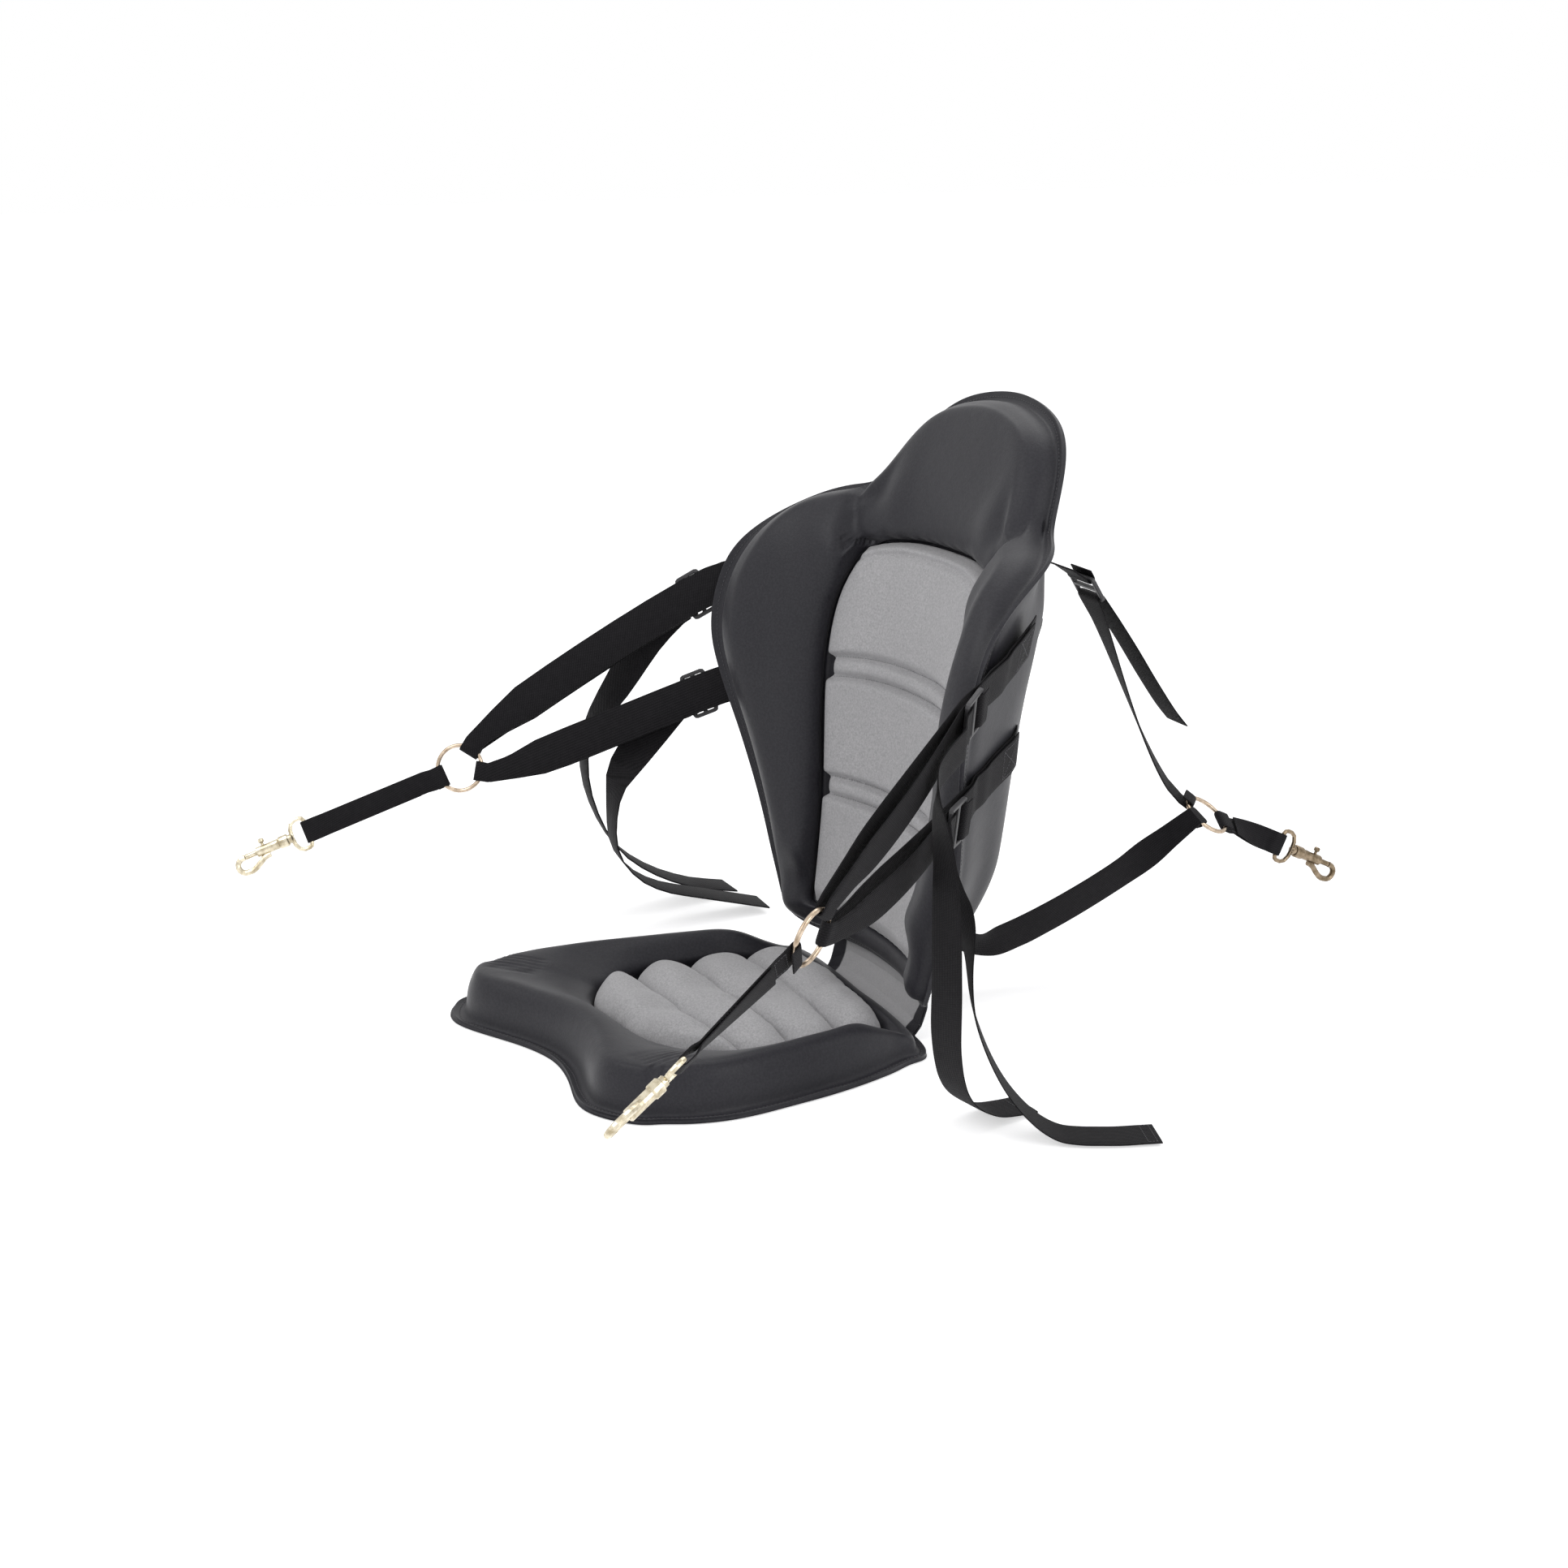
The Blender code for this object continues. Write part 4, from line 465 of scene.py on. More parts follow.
def join_rings(faces, a, b):
    """Adds the faces between two closed rings of vertices."""
    for index in range(len(a)):
        after = (index + 1) % len(a)
        faces.append((a[index], a[after], b[after], b[index]))


def grid_numbers(start, count, width):
    return [[start + row * width + column for column in range(width)] for row in range(count)]


def grid_faces(numbers):
    """The faces over a grid of vertices."""
    return [(low[j], low[j + 1], high[j + 1], high[j])
            for low, high in zip(numbers, numbers[1:]) for j in range(len(low) - 1)]


def still_normals(vertices):
    """Each vertex with its normal as it is before any of them moves."""
    return list(zip(vertices, [vertex.normal.copy() for vertex in vertices]))


def baked(holder):
    """The mesh that a holder's modifiers make."""
    bpy.context.view_layer.update()
    graph = bpy.context.evaluated_depsgraph_get()
    made = bpy.data.meshes.new_from_object(holder.evaluated_get(graph))
    bpy.data.objects.remove(holder)
    return made


def subdivided(mesh, levels):
    """The mesh as a smooth surface that still passes through its own vertices."""
    count = len(mesh.vertices)
    target = [vertex.co.copy() for vertex in mesh.vertices]
    holder = add_object("cage", mesh)
    smooth = holder.modifiers.new("smooth", "SUBSURF")
    smooth.levels = 2
    smooth.render_levels = 2
    for _ in range(4):
        bpy.context.view_layer.update()
        graph = bpy.context.evaluated_depsgraph_get()
        made = holder.evaluated_get(graph).to_mesh()
        moved = [made.vertices[index].co.copy() for index in range(count)]
        holder.evaluated_get(graph).to_mesh_clear()
        for index in range(count):
            mesh.vertices[index].co += (target[index] - moved[index]) * 0.85
        mesh.update()
    smooth.levels = levels
    smooth.render_levels = levels
    return baked(holder)


# Outlines of the base and the backrest, each a right half from the far middle round to the near middle

def between(a, b, across, up):
    """A point between two others, by its own share of each direction."""
    return Vector((lerp(a.x, b.x, across), lerp(a.y, b.y, up)))


def base_outline_parts():
    rear_corner = Vector((BASE_REAR_HALF_WIDTH, BASE_REAR_Y - BASE_FLANGE_WIDTH))
    widest = Vector((BASE_HALF_WIDTH, BASE_WIDEST_Y))
    lobe = Vector((BASE_LOBE_X, BASE_LOBE_Y))
    front = [Vector((0.0, BASE_NOTCH_Y)), Vector((BASE_LOBE_X * 0.37, lerp(BASE_NOTCH_Y, BASE_LOBE_Y, 0.30))),
             Vector((BASE_LOBE_X * 0.70, lerp(BASE_NOTCH_Y, BASE_LOBE_Y, 0.84))), lobe,
             between(lobe, widest, 0.54, 0.16)]
    side = [front[-1], between(lobe, widest, 0.88, 0.53), widest, between(widest, rear_corner, 0.27, 0.49),
            between(widest, rear_corner, 0.57, 0.76), rear_corner]
    rear = [rear_corner, Vector((rear_corner.x * 0.66, BASE_REAR_Y)), Vector((0.0, BASE_REAR_Y))]
    return front, side, rear


def back_outline_parts():
    neck = Vector((NECK_HALF_WIDTH, NECK_Z))
    wing = Vector((WING_HALF_WIDTH, WING_Z))
    corner = Vector((BACK_BOTTOM_HALF_WIDTH, BACK_BOTTOM_Z + BACK_FLANGE_WIDTH))
    top = [Vector((0.0, BACK_TOP_Z)), Vector((HEAD_HALF_WIDTH * 0.36, BACK_TOP_Z - 0.005)),
           Vector((HEAD_HALF_WIDTH * 0.68, lerp(BACK_TOP_Z, HEAD_Z, 0.28))),
           Vector((HEAD_HALF_WIDTH * 0.90, lerp(BACK_TOP_Z, HEAD_Z, 0.64))),
           Vector((HEAD_HALF_WIDTH, HEAD_Z)), neck]
    side = [neck, between(neck, wing, 0.28, 0.09), between(neck, wing, 0.60, 0.20),
            between(neck, wing, 0.85, 0.42), between(neck, wing, 0.97, 0.70), wing,
            between(wing, corner, 0.08, 0.18), between(wing, corner, 0.42, 0.52),
            between(wing, corner, 0.80, 0.87), corner]
    bottom = [corner, Vector((corner.x * 0.80, BACK_BOTTOM_Z)), Vector((0.0, BACK_BOTTOM_Z))]
    return top, side, bottom


def full_outline(parts):
    """The whole outline as an even ring: far row, right side, near row, left side."""
    far, side, near = parts
    half = resample(catmull(far), CROSS_CELLS // 2)
    half += resample(catmull(side), SIDE_CELLS)[1:]
    half += resample(catmull(near), CROSS_CELLS // 2)[1:]
    mirrored = [Vector((-spot.x, spot.y)) for spot in reversed(half[1:-1])]
    return half + mirrored


def ring_turn(ring):
    area = sum(a.x * b.y - b.x * a.y for a, b in zip(ring, ring[1:] + ring[:1]))
    return 1.0 if area > 0 else -1.0


def near_row(index):
    """1 on the row at the hinge, 0 further round the outline."""
    start = CROSS_CELLS // 2 + SIDE_CELLS
    end = start + CROSS_CELLS
    if start <= index <= end:
        return 1.0
    return max(0.0, 1.0 - min(abs(index - start), abs(index - end)) / 2.0)


def inset(ring, distance, near_share):
    """The ring moved inwards along its own normals, by a smaller share along its near row."""
    moved = []
    count = len(ring)
    turn = ring_turn(ring)
    for index, spot in enumerate(ring):
        along = (ring[(index + 1) % count] - ring[index - 1]).normalized()
        amount = distance * lerp(1.0, near_share, near_row(index))
        moved.append(spot + Vector((-along.y, along.x)) * amount * turn)
    return moved


# Panels: u across from -1 to 1 and v from the near end to the far end

def seat_panel_spot(u, v):
    half = interpolate([(0.0, PANEL_REAR_HALF_WIDTH), (0.35, PANEL_HALF_WIDTH), (0.72, PANEL_HALF_WIDTH),
                        (1.0, PANEL_FRONT_HALF_WIDTH)], v)
    middle = lerp(PANEL_REAR_Y, PANEL_FRONT_Y, v)
    bow = lerp(-0.010, PANEL_CORNER_DROP, v) * abs(u) ** 3
    return Vector((u * half, middle + bow))


def back_panel_spot(u, v):
    half = interpolate(BACK_PANEL_HALF_WIDTHS, v)
    middle = lerp(BACK_PANEL_BOTTOM_Z, BACK_PANEL_TOP_Z, v)
    bow = lerp(0.002, -BACK_PANEL_CORNER_DROP, v) * abs(u) ** 3
    return Vector((u * half, middle + bow))


def panel_grid(spot_at, rows, columns):
    return [[spot_at(u, v) for u in columns] for v in rows]


def grid_border(grid):
    """The grid's border in the order of full_outline: far row right of middle first."""
    middle = len(grid[0]) // 2
    border = grid[-1][middle:]
    border += [row[-1] for row in reversed(grid[:-1])]
    border += list(reversed(grid[0][:-1]))
    border += [row[0] for row in grid[1:]]
    border += grid[-1][1:middle]
    return border


def back_y(x, z):
    wrap = lerp(WRAP_DEPTH, HEAD_WRAP_DEPTH, smoothstep(0.425, 0.520, z))
    pose = (BACK_SWAY * x + BACK_LEAN) * lerp(0.35, 1.0, smoothstep(BACK_BOTTOM_Z, 0.20, z))
    return interpolate(RECLINE, z) + pose - wrap * (abs(x) / WING_HALF_WIDTH) ** WRAP_POWER


def back_normal(x, z):
    step = 0.002
    across = (back_y(x + step, z) - back_y(x - step, z)) / (2 * step)
    up = (back_y(x, z + step) - back_y(x, z - step)) / (2 * step)
    return Vector((across, -1.0, up)).normalized()


def back_place(spot, height):
    """A point of the backrest, height towards the sitter from its middle surface; thinner behind its foot."""
    if height < -BACK_FLANGE:
        height *= lerp(BACK_FOOT_SHARE, 1.0, smoothstep(BACK_PANEL_BOTTOM_Z, 0.20, spot.y))
    return Vector((spot.x, back_y(spot.x, spot.y), spot.y)) + back_normal(spot.x, spot.y) * height


def base_place(spot, height):
    """A point of the base; its soft front lies a little to one side of the hinge, far lobe forwards."""
    forward = smoothstep(0.0, 1.0, (BASE_REAR_Y - spot.y) / (BASE_REAR_Y - BASE_LOBE_Y))
    return Vector((spot.x, spot.y + spot.x * BASE_SWAY * forward, height))


def padded_shell(outline, grid, place, front, rear, near_share):
    """A moulded shell: rings run from the recess floor over the bolster, round the rim and behind."""
    border = grid_border(grid)
    rows = []
    faces = []

    def add_ring(distance, blend, height):
        moved = inset(outline, distance, near_share) if distance else outline
        start = len(rows)
        for index, edge in enumerate(border):
            spot = moved[index].lerp(edge, blend)
            rows.append(place(spot, height(index, blend) if callable(height) else height))
        return list(range(start, len(rows)))

    def close(height, last):
        numbers = grid_numbers(len(rows), len(grid), len(grid[0]))
        rows.extend(place(spot, height) for row in grid for spot in row)
        faces.extend(grid_faces(numbers))
        join_rings(faces, last, grid_border(numbers))

    sides = []
    for table in (rear, front):
        made = [add_ring(*line) for line in table[:-1]]
        for a, b in zip(made, made[1:]):
            join_rings(faces, a, b)
        close(table[-1], made[-1])
        sides.append(made)
    join_rings(faces, sides[0][0], sides[1][0])
    return rows, faces


def base_height(height):
    """Bolster height along the base's rim: full at the sides and front, low along the rear."""
    rear_start = CROSS_CELLS // 2 + SIDE_CELLS
    rear_end = rear_start + CROSS_CELLS

    def at(index, blend):
        steps = 0 if rear_start <= index <= rear_end else min(abs(index - rear_start), abs(index - rear_end))
        share = smoothstep(0.0, 1.0, 1.0 - steps / 4.0)
        low = lerp(BASE_FLANGE, BASE_REAR_HEIGHT, height / BASE_BOLSTER_HEIGHT)
        return min(height, lerp(height, low, share))
    return at


def back_height(height):
    """Bolster height along the backrest's rim: a crease at each neck, and low along the bottom."""
    far = CROSS_CELLS // 2
    bottom_start = far + SIDE_CELLS
    bottom_end = bottom_start + CROSS_CELLS
    necks = (far, 2 * (CROSS_CELLS + SIDE_CELLS) - far)

    def at(index, blend):
        amount = height
        if index in necks:
            amount -= NECK_CREASE * min(1.0, blend * 3.0)
        if bottom_start - 1 <= index <= bottom_end + 1:
            share = 1.0 if bottom_start < index < bottom_end else 0.55
            amount = lerp(amount, BACK_FLOOR, share * 0.75)
        return amount
    return at


def dense_shell(name, outline, spot_at, place, front, rear, near_share):
    grid = panel_grid(spot_at, even(SIDE_CELLS, 0.0, 1.0), even(CROSS_CELLS, -1.0, 1.0))
    rows, faces = padded_shell(outline, grid, place, front, rear, near_share)
    mesh = mesh_from(name, rows, faces)
    return subdivided(mesh, SHELL_LEVELS)


def soft_dents(mesh, amount, scale, seed):
    """Moves a shell's surface by a small slow noise, as hand-moulded foam under cloth shows."""
    offset = Vector((seed, seed * 0.37, -seed))
    for vertex, normal in still_normals(mesh.vertices):
        vertex.co += normal * amount * noise.noise(vertex.co * scale + offset)


def carve_valley(mesh, start, end, width, depth):
    """Sinks a soft valley into the front of the backrest along a straight guide line."""
    start = Vector(start)
    reach = Vector(end) - start
    for vertex, normal in still_normals(mesh.vertices):
        if normal.y > -0.2:
            continue
        flat = Vector((vertex.co.x, vertex.co.z))
        along = (flat - start).dot(reach) / reach.length_squared
        t = min(1.0, max(0.0, along))
        away = (flat - start - reach * t).length
        if away > width * 2.5:
            continue
        vertex.co -= normal * depth * math.exp(-(away / width) ** 2) * smoothstep(0.0, 0.25, along + 0.1)


def emboss_ribs(mesh, centre, along):
    """Presses a short row of parallel grooves into the top of a shell."""
    across = Vector((-along.y, along.x, 0.0))
    for vertex, normal in still_normals(mesh.vertices):
        away = vertex.co - centre
        if normal.z < 0.3:
            continue
        run = abs(away.dot(along))
        side = away.dot(across)
        if run > RIB_HALF_LENGTH or abs(side) > RIB_HALF_WIDTH:
            continue
        fade = smoothstep(RIB_HALF_LENGTH, RIB_HALF_LENGTH * 0.6, run)
        fade *= smoothstep(RIB_HALF_WIDTH, RIB_HALF_WIDTH * 0.8, abs(side))
        wave = 0.5 - 0.5 * math.cos(2 * math.pi * side / RIB_PITCH)
        vertex.co -= normal * RIB_DEPTH * fade * wave


def bolster_rings(flange, height, tall, steps):
    """Rings over a bolster, from (distance past the flange, blend to the panel, share of its height)."""
    return [(flange + past, blend, height(tall * share)) for past, blend, share in steps]


def make_base_shell(finish):
    flange = BASE_FLANGE_WIDTH
    front = [(0.0, 0.0, BASE_FLANGE * 0.92), (0.0014, 0.0, BASE_FLANGE), (flange, 0.0, BASE_FLANGE)]
    front += bolster_rings(flange, base_height, BASE_BOLSTER_HEIGHT, [
        (0.003, 0.0, 0.5), (0.009, 0.0, 0.87), (0.018, 0.0, 1.0), (0.018, 0.30, 0.97),
        (0.018, 0.60, 0.86), (0.018, 0.86, 0.68), (0.018, 0.985, 0.50)])
    front.append(BASE_FLOOR)
    rear = [(0.0, 0.0, 0.0004), (0.0014, 0.0, 0.0), (flange, 0.4, 0.0), 0.0]
    outline = full_outline(base_outline_parts())
    mesh = dense_shell("base_shell", outline, seat_panel_spot, base_place, front, rear, BASE_NEAR_SHARE)
    for side in (1.0, -1.0):
        centre = base_place(Vector((side * RIB_X, RIB_Y)), RIB_Z)
        emboss_ribs(mesh, centre, Vector((side * RIB_SLANT - BASE_SWAY, -1.0, 0.0)).normalized())
    soft_dents(mesh, 0.0007, 22.0, 3.0)
    for vertex in mesh.vertices:
        vertex.co.z = max(0.0, vertex.co.z)
    made = new_piece("base_shell", mesh, finish, "seat", ["base_foam"])
    return made


def make_back_shell(finish):
    flange = BACK_FLANGE_WIDTH
    front = [(0.0, 0.0, BACK_FLANGE * 0.6), (0.0012, 0.0, BACK_FLANGE), (flange, 0.0, BACK_FLANGE)]
    front += bolster_rings(flange, back_height, BACK_BOLSTER, [
        (0.003, 0.0, 0.45), (0.011, 0.0, 0.82), (0.020, 0.0, 1.0), (0.020, 0.28, 1.06), (0.020, 0.55, 1.08),
        (0.020, 0.78, 1.02), (0.020, 0.93, 0.82), (0.020, 0.99, 0.50)])
    front.append(BACK_FLOOR)
    bulge = -BACK_REAR_BULGE
    rear = [(0.0, 0.0, -BACK_FLANGE * 0.6), (0.0012, 0.0, -BACK_FLANGE), (flange, 0.0, -BACK_FLANGE),
            (flange + 0.010, 0.0, bulge * 0.20), (flange + 0.020, 0.25, bulge * 0.46),
            (flange + 0.020, 0.60, bulge * 0.80), bulge]
    outline = full_outline(back_outline_parts())
    mesh = dense_shell("back_shell", outline, back_panel_spot, back_place, front, rear, BACK_NEAR_SHARE)
    for side in (-1.0, 1.0):
        carve_valley(mesh, (side * 0.140, 0.497), (side * 0.116, 0.438), 0.0085, 0.0075)
        carve_valley(mesh, (side * 0.128, 0.478), (side * 0.112, 0.440), 0.0140, -0.0040)
    for u in even(10, -0.9, 0.9):
        top = back_panel_spot(u, 1.0)
        carve_valley(mesh, (top.x, top.y + 0.004), (top.x + 0.001, top.y + 0.005), 0.0085, 0.0016)
    soft_dents(mesh, 0.0008, 14.0, 8.0)
    made = new_piece("back_shell", mesh, finish, "seat", ["back_foam"])
    return made


# Quilted panels

def seat_roll(v):
    """Height share and edge pull of the seat panel's fat rolls."""
    bulge = abs(math.sin(math.pi * PANEL_ROLLS * v)) ** 0.55
    return bulge, 0.105 * (1.0 - bulge) ** 1.3


def back_roll(v):
    """Height share and edge pull of the backrest panel: three flat fields between pairs of sewn lines."""
    share = 1.0
    pull = 0.0
    for seam in (1.0 / 3.0, 2.0 / 3.0):
        away = abs(v - seam)
        for line in (-BACK_SEAM_SPREAD, BACK_SEAM_SPREAD):
            share = min(share, 1.0 - 0.62 * math.exp(-((v - seam - line) / 0.0105) ** 2))
        pull = max(pull, 0.060 * smoothstep(0.040, 0.020, away))
    share = min(share, 1.0 - 0.30 * math.exp(-((v - 0.965) / 0.008) ** 2))
    share *= smoothstep(-0.012, 0.045, v) * smoothstep(1.006, 0.975, v)
    return share, pull


def softened(bulge, u, v):
    """The seat's height share with shallower seams towards its middle; both ends stay as they are."""
    if not 0.5 / PANEL_ROLLS < v < 1.0 - 0.5 / PANEL_ROLLS:
        return bulge
    return 1.0 - (1.0 - bulge) * lerp(SEAM_SLACK, 1.0, abs(u) ** 1.6)


def quilt(name, spot_at, place, profile, floor, thickness, crown, end_gap, cells, finish, replaced, seed,
          softness, ease=lambda bulge, u, v: bulge):
    """A sewn panel with puckers along its seams and rounded, scalloped ends."""
    across, down = cells
    columns = [math.sin(math.pi / 2 * value) for value in even(across, -1.0, 1.0)]
    rows = []
    for top in (False, True):
        for v in even(down, 0.0, 1.0):
            bulge, pull = profile(v)
            near_seam = (1.0 - bulge) ** 1.5
            edge = 1.0 - PANEL_MARGIN - pull
            at = lerp(end_gap, 1.0 - end_gap, v)
            for u in columns:
                spot = spot_at(u * edge, at)
                if not top:
                    rows.append(place(spot, floor + LINER_GAP))
                    continue
                fall = max(0.0, 1.0 - abs(u) ** 5) ** 0.5
                puff = (thickness * 0.55 + crown) * ease(bulge, u, v) * lerp(0.22, 1.0, fall)
                pucker = noise.noise(Vector((u * 11.0 + seed, v * 7.0, seed)))
                sag = noise.noise(Vector((u * 2.9, v * 6.5, seed * 2.0)))
                puff += PUCKER_DEPTH * pucker * (1.0 - abs(bulge * 2.0 - 1.0)) * fall
                puff += softness * sag * bulge * fall
                puff += GATHER_DEPTH * math.sin(u * 55.0 + 4.0 * sag) * near_seam * fall
                rows.append(place(spot, floor + LINER_GAP + thickness * 0.40 * lerp(0.4, 1.0, fall) + puff))
    numbers = grid_numbers(0, down + 1, across + 1)
    half = len(rows) // 2
    faces = grid_faces(numbers)
    faces += [(half + a, half + d, half + c, half + b) for a, b, c, d in grid_faces(numbers)]
    border = numbers[0] + [row[-1] for row in numbers[1:]] + numbers[-1][-2::-1]
    border += [row[0] for row in reversed(numbers[1:-1])]
    join_rings(faces, border, [index + half for index in border])
    mesh = mesh_from(name, rows, faces)
    made = new_piece(name, mesh, finish, "seat", replaced)
    return made


# Webbing from the frame's own straps

def linked(mesh_object):
    """A strap's welded vertices, the neighbours of each, and its flat quads, which may be its ends."""
    form = bmesh.new()
    form.from_mesh(mesh_object.data)
    bmesh.ops.remove_doubles(form, verts=form.verts, dist=WELD_DISTANCE)
    form.verts.ensure_lookup_table()
    spots = [vertex.co.copy() for vertex in form.verts]
    near = [set(edge.other_vert(vertex).index for edge in vertex.link_edges) for vertex in form.verts]
    caps = []
    for edge in form.edges:
        if len(edge.link_faces) == 2 and edge.link_faces[0].normal.dot(edge.link_faces[1].normal) > 0.999:
            around = set(vertex.index for face in edge.link_faces for vertex in face.verts)
            if len(around) == 4:
                caps.append(around)
    form.free()
    return spots, near, caps


def walk(near, start, total):
    """Rings of four vertices from one end to the other, or None where start isn't an end."""
    rings = [set(start)]
    seen = set(start)
    while len(seen) < total:
        after = set(other for index in rings[-1] for other in near[index]) - seen
        if len(after) != 4:
            return None
        rings.append(after)
        seen |= after
    return rings


def strap_stations(node):
    """(middle, half width across, half thickness) for each cross-section of a strap of the frame."""
    spots, near, caps = linked(node)
    rings = None
    for cap in caps:
        rings = walk(near, cap, len(spots))
        if rings:
            break
    if not rings:
        return None
    first = sorted(rings[0])
    corner = first[0]
    others = sorted(first[1:], key=lambda index: (spots[index] - spots[corner]).length)
    order = [corner, others[1], others[2], others[0]]
    ordered = [order]
    for ring in rings[1:]:
        best = min(itertools.permutations(sorted(ring)),
                   key=lambda trial: sum((spots[a] - spots[b]).length for a, b in zip(ordered[-1], trial)))
        ordered.append(list(best))
    stations = []
    for a, b, c, d in ordered:
        middle = (spots[a] + spots[b] + spots[c] + spots[d]) / 4
        across = (spots[b] + spots[c] - spots[a] - spots[d]) / 4
        through = (spots[c] + spots[d] - spots[a] - spots[b]) / 4
        stations.append((middle, across, through))
    return stations


def finer(stations, step):
    """The stations with smooth ones in between, about a step apart."""
    made = []
    count = len(stations)
    for index in range(count - 1):
        group = [stations[min(count - 1, max(0, index + move))] for move in (-1, 0, 1, 2)]
        reach = (group[2][0] - group[1][0]).length
        before = (group[1][0] - group[0][0]).length
        after = (group[3][0] - group[2][0]).length
        gaps = [gap for gap in (before, reach, after) if gap > 0]
        even_gaps = max(gaps) < 2.2 * max(1e-6, min(gaps))
        cells = max(2, int(math.ceil(reach / step)))
        for part in range(cells):
            t = part / cells
            if even_gaps:
                made.append(tuple(spline(*four, t) for four in zip(*group)))
            else:
                made.append(tuple(b.lerp(c, t) for b, c in zip(group[1], group[2])))
    made.append(stations[-1])
    return made


def straight_web(name, node, finish, along, across):
    """A short straight strap: the frame's own form with rolled edges, laid out along its two directions."""
    mesh = node.data.copy()
    mesh.name = name
    form = bmesh.new()
    form.from_mesh(mesh)
    bmesh.ops.remove_doubles(form, verts=form.verts, dist=WELD_DISTANCE)
    bmesh.ops.dissolve_limit(form, angle_limit=math.radians(1.0), verts=form.verts, edges=form.edges)
    form.to_mesh(mesh)
    form.free()
    holder = add_object("cage", mesh)
    rolled = holder.modifiers.new("rolled", "BEVEL")
    rolled.width = WEB_EDGE
    rolled.segments = 2
    rolled.limit_method = "ANGLE"
    rolled.angle_limit = SHARP_ANGLE
    made_mesh = baked(holder)
    made_mesh.name = name
    for layer in list(made_mesh.uv_layers):
        made_mesh.uv_layers.remove(layer)
    layer = made_mesh.uv_layers.new(name="cloth")
    for loop in made_mesh.loops:
        spot = made_mesh.vertices[loop.vertex_index].co
        layer.data[loop.index].uv = (spot.dot(across), spot.dot(along))
    new_piece(name, made_mesh, finish, "seat", [node.name])
    made_mesh.set_sharp_from_angle(angle=SHARP_ANGLE)
    runs = [vertex.co.dot(along) for vertex in made_mesh.vertices]
    return None, 2 * (max(runs) - min(runs))


def strap_axes(node):
    """A straight strap's long direction and its width direction."""
    spots = [vertex.co for vertex in node.data.vertices]
    first = spots[0]
    end = max(spots, key=lambda spot: (spot - first).length)
    other = max(spots, key=lambda spot: (spot - end).length)
    along = (other - end).normalized()
    middle = (end + other) / 2
    wide = max(spots, key=lambda spot: along.cross(spot - middle).length) - middle
    return along, (wide - along * wide.dot(along)).normalized()


def make_web(name, node, finish):
    """A woven strap with softly rounded edges, over a strap of the frame; gives its stations and length."""
    found = strap_stations(node)
    if found is None:
        return straight_web(name, node, finish, *strap_axes(node))
    stations = finer(found, WEB_STEP)
    shares = [math.sin(math.pi / 2 * value) for value in even(WEB_CELLS, -1.0, 1.0)]
    rows = []
    uvs = []
    run = 0.0
    last = None
    for middle, across, through in stations:
        if last is not None:
            run += (middle - last).length
        last = middle
        for face in (-1.0, 1.0):
            for share in (shares if face < 0 else reversed(shares)):
                thick = 0.55 + 0.45 * (1.0 - abs(share) ** 8)
                rows.append(middle + across * share + through * face * thick)
                uvs.append((share * across.length, run))
    faces = []
    rings = grid_numbers(0, len(stations), 2 * len(shares))
    for a, b in zip(rings, rings[1:]):
        join_rings(faces, a, b)
    for ring in (rings[0], rings[-1]):
        for j in range(WEB_CELLS):
            faces.append((ring[j], ring[j + 1], ring[-2 - j], ring[-1 - j]))
    mesh = mesh_from(name, rows, faces)
    layer = mesh.uv_layers.new(name="cloth")
    for loop in mesh.loops:
        layer.data[loop.index].uv = uvs[loop.vertex_index]
    new_piece(name, mesh, finish, "seat", [node.name])
    mesh.set_sharp_from_angle(angle=SHARP_ANGLE)
    return stations, run


# Stitching: short capsules of thread on a surface

